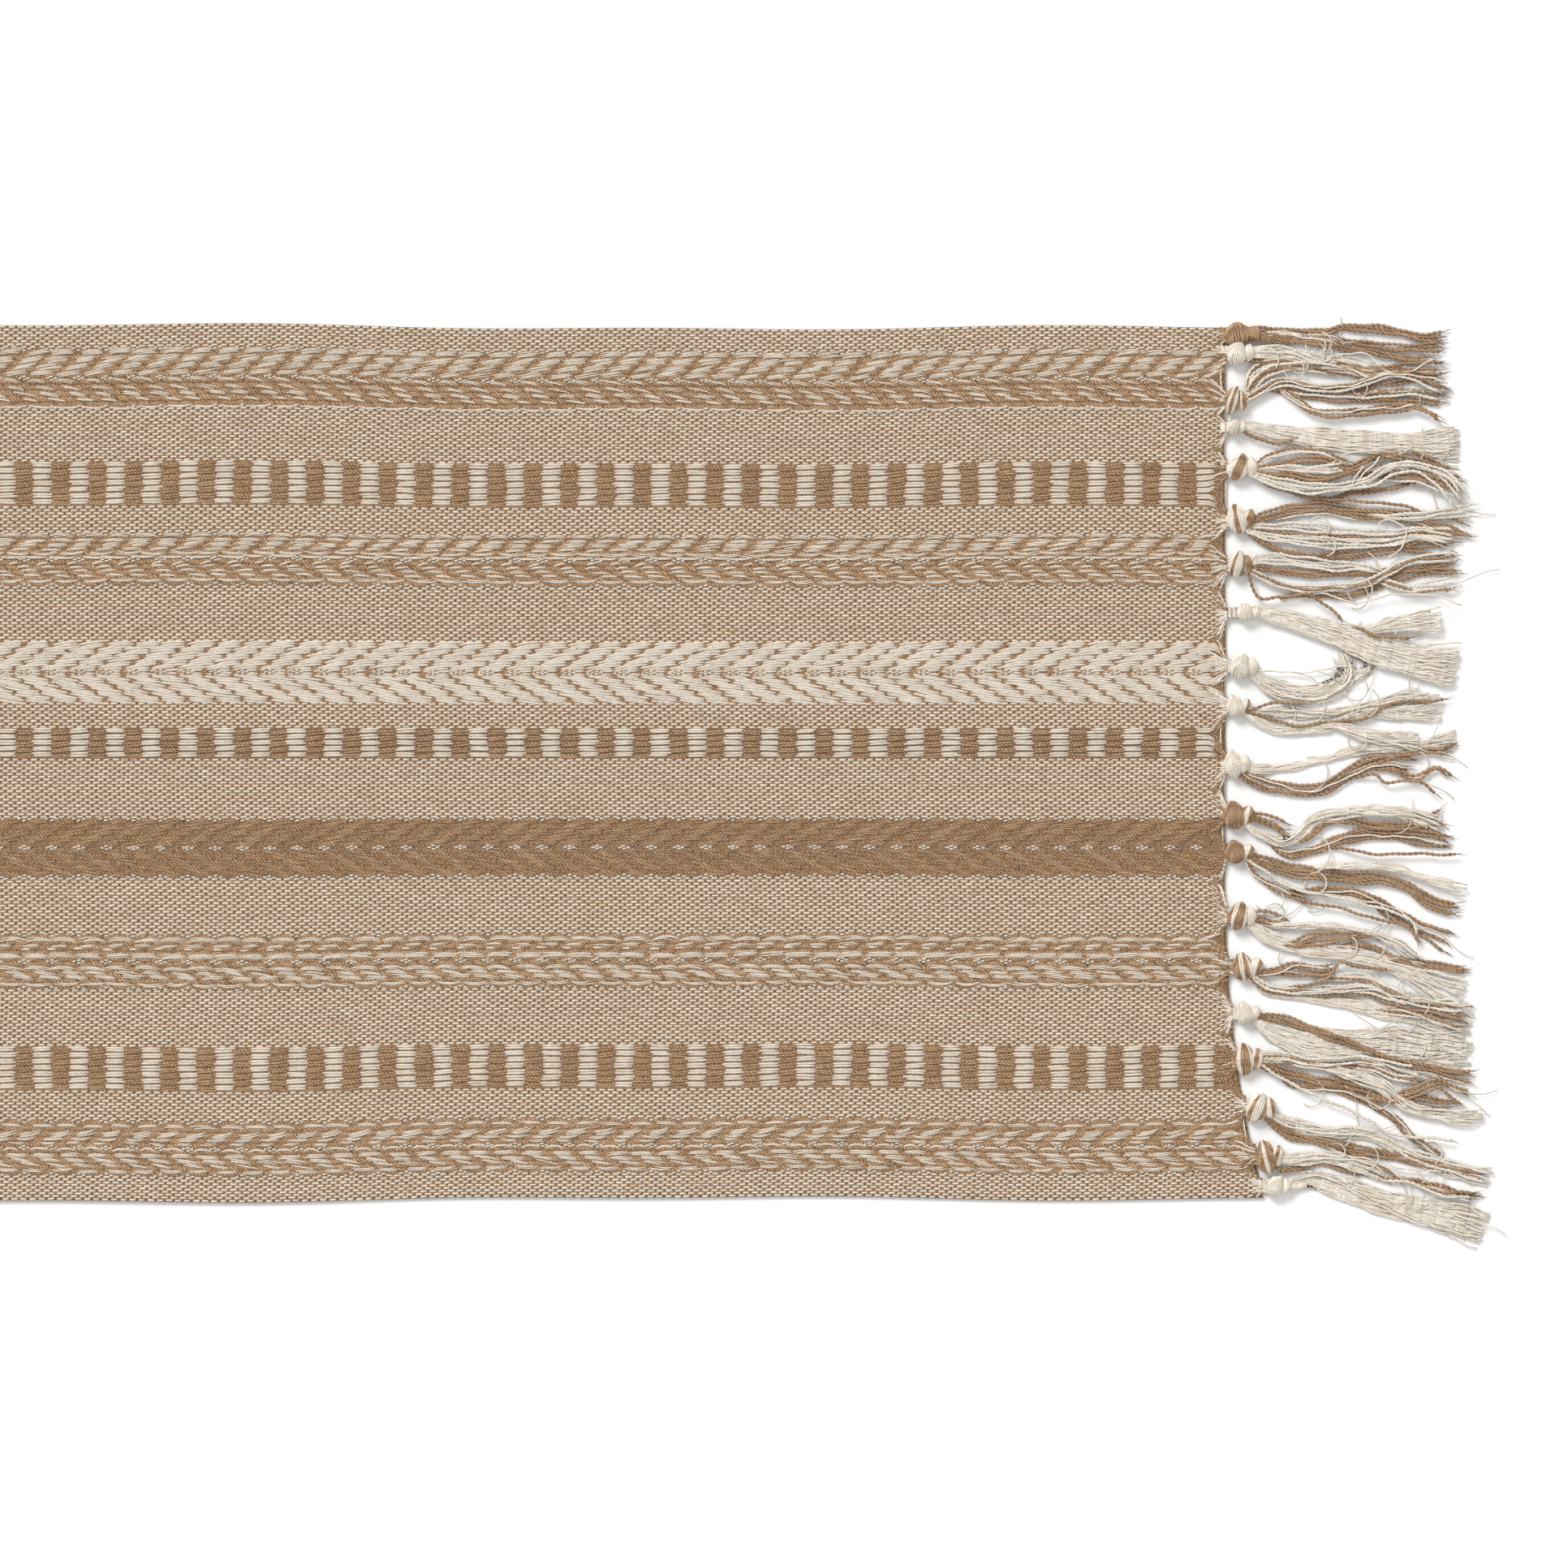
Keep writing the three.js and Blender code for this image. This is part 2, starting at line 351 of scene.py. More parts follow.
def ground_rows():
    """Heights of the sheet's rows, with the number of the weave's row at each, counted anew in every plain part."""
    heights, numbers, low = [], [], -HALF_WIDTH
    for start, stop in [*band_edges(), (HALF_WIDTH, HALF_WIDTH)]:
        heights += [low, start]
        numbers += [-0.5, row_count(low, start) - 0.5]
        low = stop
    fine = np.unique(np.concatenate([np.linspace(a, b, 5) for a, b in zip(heights, heights[1:])]).round(9))
    return fine, np.interp(fine, heights, numbers)


def sheet_faces(index, flip):
    """Faces of a grid's upper skin, of the lower skin with the same corners again, and of the rim between them."""
    top = np.stack([index[:-1, :-1], index[:-1, 1:], index[1:, 1:], index[1:, :-1]], axis=-1).reshape(-1, 4)
    around = np.concatenate([index[0, :], index[1:, -1], index[-1, -2::-1], index[-2:0:-1, 0]])
    if flip:
        top, around = top[:, ::-1], around[::-1]
    following = np.roll(around, -1)
    rim = np.column_stack([around + index.size, following + index.size, following, around])
    return top, top[:, ::-1] + index.size, rim


def ground_half(side_name):
    """One half of the cloth as a closed sheet, from the middle line to its woven end."""
    side = SIDES[side_name]
    rows, numbers = ground_rows()
    whole = np.arange(WHOLE_COLUMNS + 1) * DASH_PITCH
    share = np.arange(1, EDGE_COLUMNS + 1) / EDGE_COLUMNS
    ends = woven_end(rows, side) - SHEET_SHORT
    tail = whole[-1] + (ends[:, None] - whole[-1]) * share
    x = np.concatenate([np.broadcast_to(whole, (len(rows), len(whole))), tail], axis=1) * side
    y = np.broadcast_to(rows[:, None], x.shape)
    flat = np.column_stack([x.ravel(), y.ravel()])
    upper = np.column_stack([flat, np.full(x.size, THIN)])
    lower = np.column_stack([flat, np.full(x.size, BOTTOM)])
    weave = np.column_stack([flat[:, 0] - drift(flat[:, 1]), np.repeat(numbers, x.shape[1])])
    batch = Batch()
    batch.add(
        lay(np.concatenate([upper, lower])), np.tile(weave, (2, 1)), tiled(np.tile(flat, (2, 1))),
        *sheet_faces(np.arange(x.size).reshape(x.shape), side < 0),
    )
    return batch.build(f"ground_cloth_{side_name}", ground_weave)


# ---------------------------------------------------------------- floats and dashes
def template(sections):
    """A closed lens along u with a flat underside: (u, half width, height) sections between two poles."""
    profile = np.array([(-1, 0), (-0.55, 0.86), (0.55, 0.86), (1, 0)])
    points, faces = [(-1, 0, 0)], []
    for u, width, height in sections:
        points += [(u, v * width, h * height) for v, h in profile]
    points.append((1, 0, 0))
    size = len(profile)
    for section in range(len(sections) - 1):
        for corner in range(size):
            a, b = 1 + section * size + corner, 1 + section * size + (corner + 1) % size
            faces += [(a, b + size, b), (a, a + size, b + size)]
    last = 1 + (len(sections) - 1) * size
    for corner in range(size):
        after = (corner + 1) % size
        faces += [(0, 1 + corner, 1 + after), (len(points) - 1, last + after, last + corner)]
    return np.array(points, float), np.array(faces)[:, ::-1]


FLOAT_SHAPE = template([(-0.78, 0.72, 0.7), (-0.28, 1, 1), (0.28, 1, 1), (0.78, 0.72, 0.7)])
DASH_SHAPE = (
    np.array([
        (-1, 0, 0), (-0.7, -1, 0), (0.7, -1, 0), (1, 0, 0), (0.7, 1, 0), (-0.7, 1, 0), (-0.5, 0, 1), (0.5, 0, 1),
    ], float),
    np.array([
        (0, 1, 6), (1, 2, 7), (1, 7, 6), (2, 3, 7), (3, 4, 7), (4, 5, 6), (4, 6, 7), (5, 0, 6),
        (0, 5, 1), (1, 5, 2), (2, 5, 4), (2, 4, 3),
    ]),
)

FAN_REACH = 9 * MM  # how far before the woven end the warp starts to turn towards its knot
SUNK = 0.12 * MM  # how deep a yarn is set into what it lies on
LAST_GAP = 0.3 * MM  # left between a yarn and the woven end
END_CLEAR = 1.5 * MM  # no float is centred nearer to the woven end
MIDDLE_TO_END = 0.95  # enough repeats are counted to pass the woven end anywhere


def gather(points, side, centre_y):
    """Warp near the woven end runs towards the knot that takes it."""
    near = smooth((np.abs(points[:, 0]) - woven_end(points[:, 1], side) + FAN_REACH) / FAN_REACH)
    pull = 0.3 * near * (nearest_knot(centre_y, side) - points[:, 1])
    return points + np.column_stack([np.zeros(len(points)), pull, np.zeros(len(points))])


def place(batch, shape, side, x, y, length, width, height, slant=0.0, bow=0.0, base=THIN):
    """Many copies of a shape: centre, full length and width, height, slope along X and bow across."""
    shape_points, shape_faces = shape
    x, y, length, width, height, slant, bow, base = (
        np.broadcast_to(np.asarray(value, float), np.shape(x))
        for value in (x, y, length, width, height, slant, bow, base)
    )
    u, v, h = shape_points.T
    room = np.clip((woven_end(y, side) - np.abs(x) - LAST_GAP) / (length / 2), 0.1, 1)
    along = u[None] * length[:, None] / 2 * np.where(u * side > 0, room[:, None], 1)
    px = x[:, None] + along
    py = y[:, None] + v * width[:, None] / 2 + slant[:, None] * along + bow[:, None] * (0.5 - u**2)
    pz = base[:, None] - SUNK + h * height[:, None]
    flat = np.column_stack([px.ravel(), py.ravel()])
    points = gather(np.column_stack([flat, pz.ravel()]), side, np.repeat(y, len(u)))
    faces = shape_faces[None] + (np.arange(len(x)) * len(u))[:, None, None]
    batch.add(lay(points), flat, tiled(flat), faces.reshape(-1, 3))


def along_cloth(side, pitch, phase, y, clear):
    """Centres of one row's repeats on one half, from the middle to the woven end less clear."""
    reach = woven_end(y, side) - clear
    repeats = np.arange(-1, int(MIDDLE_TO_END / pitch) + 1)
    x = (repeats + phase % 1) * pitch if side > 0 else -(repeats + 1 - phase % 1) * pitch
    return x[(x * side > 0) & (x * side <= reach)]


def jitter(like, amount):
    """Small random changes, one for each value."""
    return random.normal(0, amount, np.shape(like))


def plain_rows():
    """Heights of the plain weave's rows, each with its number counted from the band before it."""
    rows = []
    low = -HALF_WIDTH
    for start, stop in [*band_edges(), (HALF_WIDTH, HALF_WIDTH)]:
        count = row_count(low, start)
        step = (start - low) / count
        for k in range(count):
            rows.append((low + (k + 0.5) * step, k))
        low = stop
    return rows


def plain_weave(side_name, upper):
    """Every dash of the plain weave on one half, above or below the middle line."""
    side, batch = SIDES[side_name], Batch()
    for y, k in plain_rows():
        if (y > 0) != upper:
            continue
        x = along_cloth(side, DASH_PITCH, 0.5 * (k % 2) + drift(y) / DASH_PITCH, y, 0.6 * MM)
        place(
            batch, DASH_SHAPE, side, x + jitter(x, 0.1 * MM), y + jitter(x, 0.05 * MM),
            length=3.4 * MM * (1 + jitter(x, 0.06)), width=1.0 * MM * (1 + jitter(x, 0.08)), height=0.6 * MM,
            slant=0.04 + jitter(x, 0.04),
        )
    return batch.build(f"plain_weave_{side_name}_{'upper' if upper else 'lower'}", dash_yarn)


# The cream floats of the braids, top to bottom: height in the band (-1 to 1), phase, length, thickness and
# bow in millimetres, slant
BRAIDS = {
    "braid_1": [
        (0.88, 0.48, 10.6, 2.1, 0.5, 0.08), (0.62, 0.20, 10.6, 2.4, 0.2, 0.13), (0.39, -0.10, 10.4, 2.1, 0.2, 0.15),
        (0.17, -0.38, 10.2, 1.7, 0.0, 0.12), (-0.08, 0.46, 9.0, 1.1, 0.7, -0.18), (-0.34, 0.75, 8.6, 1.0, 0.3, -0.20),
        (-0.54, 0.98, 8.6, 1.3, 0.2, -0.16), (-0.72, 1.24, 8.0, 0.9, 0.1, -0.14), (-0.97, 0.60, 12.4, 0.9, -0.9, 0.0),
    ],
    "braid_2": [
        (0.90, 0.48, 10.0, 1.4, 0.9, 0.0), (0.73, 0.30, 9.4, 1.2, 0.2, 0.03), (0.57, 0.10, 9.8, 1.7, 0.1, 0.06),
        (0.40, -0.08, 9.0, 1.1, 0.1, 0.08), (0.25, -0.24, 12.3, 1.1, -0.8, 0.0), (0.10, 0.40, 12.2, 0.9, -0.6, 0.0),
        (-0.13, 0.66, 5.4, 0.9, 0.2, 0.25), (-0.27, 0.86, 6.4, 0.9, 0.2, 0.10), (-0.43, 1.06, 8.0, 1.0, 0.3, 0.0),
        (-0.59, 1.28, 8.4, 0.9, 0.1, -0.05), (-0.78, 0.55, 12.4, 1.2, -0.9, 0.0),
    ],
    "braid_3": [
        (0.78, 0.50, 12.3, 1.6, 1.0, 0.0), (0.58, 0.24, 8.4, 1.0, 0.1, 0.05), (0.45, 0.02, 4.6, 0.9, 0.1, 0.0),
        (0.20, 0.40, 12.4, 2.0, 0.4, 0.02), (-0.25, 0.46, 11.4, 1.5, 0.8, -0.05), (-0.42, 0.72, 9.6, 1.2, 0.2, -0.12),
        (-0.57, 0.94, 10.2, 1.5, 0.0, -0.08), (-0.80, 0.55, 12.4, 1.2, -1.0, 0.0),
    ],
    "braid_4": [
        (0.80, 0.55, 10.2, 1.2, 0.3, 0.0), (0.50, 0.26, 9.8, 2.1, -0.5, 0.18), (0.32, 0.02, 9.4, 1.0, -0.6, 0.05),
        (0.17, -0.16, 6.4, 1.0, -0.3, 0.0), (-0.07, 0.50, 10.0, 0.9, 1.4, 0.0), (-0.28, 0.70, 9.6, 1.6, 0.2, 0.0),
        (-0.46, 0.92, 9.8, 1.5, 0.2, -0.12), (-0.63, 1.16, 9.0, 1.0, 0.0, -0.16), (-0.82, 1.40, 10.0, 1.4, -0.5, 0.0),
    ],
}


def yarns(batch, count, side, x, y, length, width, height, uneven=0.4 * MM, **more):
    """A float made of a few fine yarns lying side by side."""
    for k in range(count):
        share = (k + 0.5) / count - 0.5
        place(
            batch, FLOAT_SHAPE, side, x + jitter(x, uneven), y + share * width + jitter(x, 0.05 * MM),
            length=length * (1 + jitter(x, 0.05)), width=1.3 * width / count,
            height=height * (1 - 0.5 * share**2), **more,
        )


def underlay(batch, side, key, rows):
    """Low brown yarns that fill a band under its floats."""
    centre, width = BANDS[key]
    for row in range(rows):
        level = (row + 0.5) / rows * 2 - 1
        y = centre + level * width / 2
        x = along_cloth(side, TWILL_PITCH / 2, 0.37 * row, y, END_CLEAR)
        place(
            batch, FLOAT_SHAPE, side, x + jitter(x, 0.5 * MM), y + jitter(x, 0.1 * MM), length=7.0 * MM,
            width=1.12 * width / rows, height=(0.5 + 0.2 * (row % 3 == 1)) * MM,
            slant=0.12 * np.sign(level) + jitter(x, 0.04),
        )


def braid(cream, brown, side, key):
    """A braid-like twill band: cream floats climb to the centre line, then fall away from it, over brown."""
    centre, width = BANDS[key]
    underlay(brown, side, key, 10)
    for level, phase, length, thick, bow, slant in BRAIDS[key]:
        y = centre + level * width / 2
        x = along_cloth(side, TWILL_PITCH, phase, y, END_CLEAR)
        yarns(
            cream, 1 + sum(thick > limit for limit in (0.95, 1.3, 1.9)), side, x + jitter(x, 0.35 * MM),
            y + jitter(x, 0.16 * MM), length=length * MM * (1 + jitter(x, 0.05)), width=thick * MM, height=0.95 * MM,
            slant=slant + jitter(x, 0.03), bow=bow * MM * (1 + jitter(x, 0.2)), uneven=0.7 * MM,
        )


def stitches(batch, side, y, places, lift=0.45):
    """Clusters of short dashes once a repeat, at (dx, dy) millimetres from its start on the line y."""
    for dx, dy in places:
        x = along_cloth(side, TWILL_PITCH, 0.0, y, 3 * MM) + dx * MM
        place(
            batch, DASH_SHAPE, side, x + jitter(x, 0.12 * MM), y + dy * MM + jitter(x, 0.06 * MM),
            length=2.1 * MM, width=1.0 * MM, height=0.7 * MM, slant=0.1 + jitter(x, 0.05), base=THIN + lift * MM,
        )


CENTRE_STITCHES = ((-1.7, 0.05), (0.0, 0.6), (0.1, -0.55), (1.8, 0.0))
DIAMOND = ((-2.6, 0.0), (2.6, 0.0), (-1.0, 0.9), (1.0, 0.9), (-1.0, -0.9), (1.0, -0.9))
DIP = ((-2.2, -0.1), (0.0, -0.8), (2.2, -0.1))
CHECK_LENGTH = 9.4 * MM
CHECK_ROWS = {"check_1": 7, "check_2": 5, "check_3": 7}


def borders(batch, side, key):
    """Plain dashes that dip into a band's edges once a repeat."""
    centre, width = BANDS[key]
    stitches(batch, side, centre + width / 2, DIP)
    stitches(batch, side, centre - width / 2, [(dx, -dy) for dx, dy in DIP])


def chevron(batch, side, key, overlap, fullness):
    """A solid twill band: rows of three yarns, each row shifted a third, mirrored about the centre line."""
    centre, width = BANDS[key]
    rows = 5
    for half in (1, -1):
        for row in range(rows):
            y = centre + half * ((row + 0.5) / rows * (width / 2 - 0.1 * MM) + 0.1 * MM)
            x = along_cloth(side, TWILL_PITCH, 0.12 + 0.34 * row, y, END_CLEAR)
            yarns(
                batch, 3, side, x + jitter(x, 0.25 * MM), y + jitter(x, 0.06 * MM),
                length=overlap * TWILL_PITCH, width=fullness * width / rows, height=0.85 * MM,
                slant=(0.1 if half > 0 else -0.13) + jitter(x, 0.03), bow=(0.35 if half > 0 else -0.1) * MM,
            )


def check(cream, brown, side, key, rows):
    """Blocks of long cream floats between blocks of brown ones."""
    centre, width = BANDS[key]
    pitch = width / rows
    for row in range(rows):
        y = centre + ((row + 0.5) / rows * 2 - 1) * width / 2
        x = along_cloth(side, CHECK_PITCH, 0.25, y, 3 * MM)
        yarns(
            cream, 2, side, x, y + 0.15 * pitch + jitter(x, 0.05 * MM), length=CHECK_LENGTH,
            width=0.74 * pitch, height=0.95 * MM, slant=0.02 + jitter(x, 0.025),
        )
        x = along_cloth(side, CHECK_PITCH, 0.75, y, END_CLEAR)
        yarns(
            brown, 2, side, x, y - 0.15 * pitch + jitter(x, 0.08 * MM), length=CHECK_LENGTH,
            width=0.72 * pitch, height=0.85 * MM, slant=0.05 + jitter(x, 0.05),
        )


def floats(side_name):
    """Every band's yarns on one half, as six pieces: cream and brown of the braids, the checks and the chevrons."""
    side = SIDES[side_name]
    batches = {(kind, colour): Batch() for kind in ("braid", "check", "chevron") for colour in ("cream", "brown")}
    cream, brown = batches["braid", "cream"], batches["braid", "brown"]
    for key in BRAIDS:
        braid(cream, brown, side, key)
        stitches(cream, side, BANDS[key][0], CENTRE_STITCHES)
        borders(cream, side, key)
    for key, rows in CHECK_ROWS.items():
        check(batches["check", "cream"], batches["check", "brown"], side, key, rows)
    cream, brown = batches["chevron", "cream"], batches["chevron", "brown"]
    chevron(cream, side, "cream", overlap=1.0, fullness=0.62)
    chevron(brown, side, "brown", overlap=0.9, fullness=0.45)
    stitches(brown, side, BANDS["cream"][0], DIAMOND)
    for key in ("cream", "brown"):
        stitches(cream, side, BANDS[key][0], CENTRE_STITCHES, lift=0.65)
    borders(cream, side, "brown")
    yarn = {"cream": cream_yarn, "brown": brown_yarn}
    return [
        batch.build(f"{kind}_{colour}_floats_{side_name}", yarn[colour]) for (kind, colour), batch in batches.items()
    ]


def bend_with_drop(piece):
    """Bake a piece's placement into its mesh."""
    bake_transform(piece)


def cloth(side_name):
    """The ground sheet and the yarns of one half; the parts of the frame that they stand for are hidden."""
    ground = ground_half(side_name)
    pieces = floats(side_name)
    pieces += [plain_weave(side_name, upper) for upper in (True, False)]
    for piece in [ground, *pieces]:
        bend_with_drop(piece)
    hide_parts(f"ground_{side_name}", "ground_centre")
    braid_nodes = [f"braid_band_{n}_{part}" for n in (1, 2, 3, 4) for part in (side_name, "centre")]
    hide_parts(*braid_nodes)
    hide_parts(*[f"check_band_{n}_centre" for n in (1, 2, 3)])
    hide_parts("chevron_band_cream_centre")
    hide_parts("chevron_band_brown_centre")
    return ground, pieces


sheets = {side_name: cloth(side_name) for side_name in SIDES}


# ---------------------------------------------------------------- the fringe
# One entry per tassel of the right end, from +Y to -Y: where the knot's middle is past its hinge, its length
# and half width, the yarns wound round it, and the bundles of its skirt, the lowest first. A bundle is its
# yarns across its width, from +Y to -Y, and points (past the straight end, y, full width). All in millimetres.
# B: brown plied yarn, C: cream plied yarn, c: fine cream singles.
TASSELS = [
    (8.3, 16, 5.1, "BBBBBBBB", [  # 1
        ("BBBB", [(15, 187.6, 5.7), (30, 187.1, 4.7), (44, 187.6, 3.8), (53, 189.9, 3.4), (70, 188.8, 2.8),
            (85, 186.1, 2.5), (95, 185.9, 3.4)]),
        ("BBBBB", [(15, 185.9, 3.8), (30, 184.5, 3.4), (47, 183.1, 5.7), (63, 180.7, 6.6), (76, 178.8, 7.6),
            (94, 177.9, 8.5)]),
        ("cc", [(16, 186.1, 1.9), (25, 186.9, 2.5), (38, 185.7, 1.9), (49, 184, 2.1), (53, 179.3, 1.3)]),
    ]),
    (7.6, 12, 5.8, "cccccccc", [  # 2
        ("BB", [(11, 175.7, 2.3), (22, 175.5, 2.5), (36, 173.4, 2.5), (51, 176.9, 2.3)]),
        ("BBcB", [(44, 174.5, 3.8), (59, 170.7, 4.7), (73, 171.2, 5.7), (95, 170.6, 5.3)]),
        ("cCcc", [(13, 178.8, 4.7), (27, 178.8, 6.1), (40, 175, 5.7), (55, 173.4, 6.1), (66, 168.8, 3.8)]),
        ("c", [(19, 180.2, 0), (40, 173.6, 0), (51, 177.9, 0), (63, 177.9, 0), (69, 171.7, 0), (82, 171.2, 0),
            (92, 176, 0)]),
    ]),
    (5.5, 9, 6.4, "BCBCBCB", [  # 3
        ("BCBBCB", [(38, 161.7, 4.7), (57, 160.3, 7.6), (71, 161.3, 9.5), (85, 161.7, 10.4), (95, 160.3, 9.5)]),
        ("CBC", [(10, 160.8, 1.9), (12, 169.8, 3.4), (19, 174.5, 2.8), (30, 175.5, 2.5), (40, 173.4, 2.3)]),
        ("CBBC", [(10, 160.3, 2.1), (16, 168.1, 3.8), (27, 172.2, 4.2), (38, 172.2, 3.8), (49, 169.8, 4.2)]),
        ("CBBC", [(10, 158.4, 2.3), (19, 163.2, 3.4), (27, 166.5, 4.2), (44, 163, 4.2), (57, 164.9, 4.2),
            (66, 167.4, 3.8), (79, 168.7, 2.8), (97, 163.2, 3.8)]),
        ("BCB", [(24, 163.6, 1.5), (32, 157.9, 2.8), (41, 152.7, 3.4), (57, 152.7, 3.8), (72, 153.7, 2.8),
            (85, 155.1, 2.8)]),
        ("BB", [(76, 156.5, 1.9), (85, 154.1, 1.9), (94, 148.9, 1.9)]),
    ]),
    (5.8, 8, 3.7, "ccccccc", [  # 4
        ("cccc", [(10, 146.6, 4.2), (22, 143.7, 6.6), (38, 142.3, 8.5), (57, 140.4, 9.5), (76, 139.5, 8.5),
            (90, 139.5, 10.4), (103, 139, 12.3)]),
        ("cccc", [(10, 146.6, 3.2), (22, 144.2, 5.7), (38, 141.8, 7.6), (57, 139.9, 8.5), (76, 139.9, 7.6),
            (90, 139, 9.5), (103, 139.9, 10.4)]),
        ("B", [(8, 144.7, 0), (15, 140.9, 0), (23, 139.6, 0), (30, 141.3, 0)]),
        ("B", [(82, 136.6, 0), (88, 133.8, 0), (94, 130.4, 0)]),
    ]),
    (8.3, 13, 6.2, "CCBBCCCC", [  # 5
        ("BB", [(19, 121.4, 1.3), (33, 117.2, 1.9), (47, 114.8, 2.3), (57, 117.6, 2.5), (71, 119.5, 2.3),
            (84, 121, 2.3)]),
        ("B", [(47, 114.8, 0), (63, 113.8, 0), (76, 112.4, 0), (85, 109.1, 0)]),
        ("BC", [(13, 128.5, 1.5), (21, 133.8, 2.5), (36, 136.1, 2.8), (47, 133.8, 2.5), (56, 129.8, 1.9)]),
        ("BB", [(13, 128.1, 1.5), (29, 130.9, 2.8), (40, 132.8, 2.8), (47, 131.9, 2.8), (56, 129, 1.9),
            (66, 132.8, 1.9), (76, 133.3, 2.8), (94, 128.5, 3.8), (103, 126.2, 3.8)]),
        ("CcCc", [(14, 126.9, 1.9), (29, 127.6, 3.4), (44, 127.1, 3.8), (52, 128.1, 3.4)]),
        ("BBBC", [(66, 125.2, 3.8), (81, 125.2, 4.7), (90, 123.3, 5.7), (102, 119.5, 5.7)]),
        ("BB", [(14, 126.2, 1.9), (29, 125.2, 2.8), (44, 123.3, 2.8), (59, 128.1, 2.8), (68, 131.9, 2.8)]),
        ("CCCC", [(14, 125.2, 2.5), (22, 122.4, 4.7), (36, 119.5, 4.7), (49, 120, 4.4), (63, 122.4, 4.7),
            (74, 128.1, 4.7), (85, 128.5, 4.7), (96, 123.3, 5.7), (103, 115.7, 5.7)]),
        ("c", [(68, 135.7, 0), (66, 130, 0), (60, 125.2, 0), (57, 119.5, 0), (56, 122.4, 0), (61, 129, 0)]),
    ]),
    (7.6, 12, 6.7, "CCBCCCBB", [  # 6
        ("BB", [(11, 100.6, 1.5), (21, 93.9, 1.9), (32, 91.1, 2.3), (44, 90.1, 2.8), (57, 91.1, 3.8), (71, 93, 4.7),
            (85, 93.9, 4.7), (100, 93.5, 3.8)]),
        ("BBBBC", [(10, 103.4, 1.9), (19, 107.2, 4.7), (31, 110.1, 5.7), (44, 110.5, 5.7), (57, 108.6, 5.7),
            (71, 107.2, 5.7), (85, 105.3, 5.7), (99, 101.5, 5.7), (106, 99.6, 2.8)]),
        ("CCBCCC", [(10, 102.5, 2.8), (19, 100.6, 7.6), (31, 99.6, 10.4), (44, 98.7, 11.4), (57, 97.7, 10.4),
            (71, 97.7, 8.5), (85, 99.6, 6.6), (100, 97.7, 5.7)]),
        ("CC", [(76, 107.2, 2.8), (90, 108.2, 4.7), (108, 110.5, 5.7)]),
        ("c", [(67, 99.6, 0), (68, 104.4, 0), (74, 105.3, 0), (80, 101.5, 0), (79, 94.9, 0), (72, 89.2, 0)]),
    ]),
    (7.6, 10, 6.2, "CBCCBCBB", [  # 7
        ("BB", [(32, 73.1, 1.3), (44, 73.1, 2.5), (57, 73.5, 3.4), (68, 77.3, 3.8), (80, 82.6, 3.8),
            (93, 84.9, 3.8)]),
        ("BB", [(11, 85.4, 1.5), (24, 84, 2.5), (38, 82.1, 2.8), (51, 82.1, 2.8), (66, 83, 2.8), (85, 84, 3.8),
            (102, 83, 3.8)]),
        ("CcCC", [(11, 86.8, 1.9), (19, 89.2, 5.3), (33, 87.8, 4.7), (47, 85.9, 3.8), (59, 85.4, 3.8),
            (69, 82.1, 2.8)]),
        ("CBC", [(11, 84, 1.9), (22, 78.8, 3.8), (36, 75.9, 3.8), (49, 75.9, 3.8), (63, 78.3, 3.4), (71, 82.1, 2.8),
            (84, 88.2, 3.8), (102, 89.2, 4.7)]),
        ("CBC", [(69, 79.7, 2.8), (81, 75.9, 3.8), (101, 77.3, 5.7)]),
        ("B", [(11, 83, 0), (13, 75, 0), (17, 71.2, 0), (25, 72.1, 0), (36, 74, 0), (44, 69.3, 0), (51, 62.6, 0)]),
        ("c", [(44, 73.5, 0), (57, 70.2, 0), (76, 73.1, 0), (91, 72.6, 0), (104, 68.8, 0)]),
    ]),
    (10.8, 10, 4.2, "ccccccc", [  # 8
        ("ccccc", [(15, 66, 4.7), (29, 62.6, 7.6), (44, 57.9, 8.5), (57, 53.2, 9.5), (71, 48.4, 11.4),
            (85, 44.6, 13.3), (102, 41.8, 14.2)]),
        ("cccc", [(15, 65.5, 3.8), (29, 62.2, 6.6), (44, 57, 7.6), (62, 49.4, 8.5), (76, 44.6, 10.4),
            (101, 40.8, 12.3)]),
        ("cc", [(44, 60.7, 2.8), (62, 57.9, 3.8), (76, 60.7, 5.7), (95, 62.6, 6.6)]),
        ("B", [(57, 58.9, 0), (66, 55.5, 0), (81, 55.1, 0)]),
    ]),
    (9.0, 12, 6.0, "CCCCCCCC", [  # 9
        ("cccc", [(44, 31.7, 5.7), (55, 36.5, 5.7), (63, 40.7, 3.8), (63, 46.9, 3.8), (57, 50.7, 3.8)]),
        ("cccCcc", [(13, 38.8, 3.8), (22, 32.7, 7.6), (33, 29.8, 8.5), (44, 30.8, 8.5), (52, 35.5, 7.6),
            (54, 41.2, 5.7), (51, 47.4, 4.7)]),
        ("c", [(13, 40.3, 0), (29, 39.8, 0), (44, 40.3, 0), (57, 42.6, 0)]),
    ]),
    (6.5, 10, 5.3, "CCCCCCCB", [  # 10
        ("cc", [(14, 22.2, 1.9), (27, 22.2, 3.8), (38, 21.3, 3.4), (49, 22.2, 2.8), (63, 25.1, 2.8), (76, 27.9, 3.8),
            (90, 28.4, 3.8)]),
        ("cccc", [(10, 21.8, 2.5), (19, 16.5, 4.2), (31, 14.2, 3.8), (44, 15.1, 3.8), (55, 19.4, 3.8),
            (66, 22.2, 4.7), (81, 22.2, 6.6), (95, 23.2, 8.5)]),
        ("B", [(10, 22.4, 0), (19, 25.1, 0), (29, 26.5, 0), (35, 26.5, 0)]),
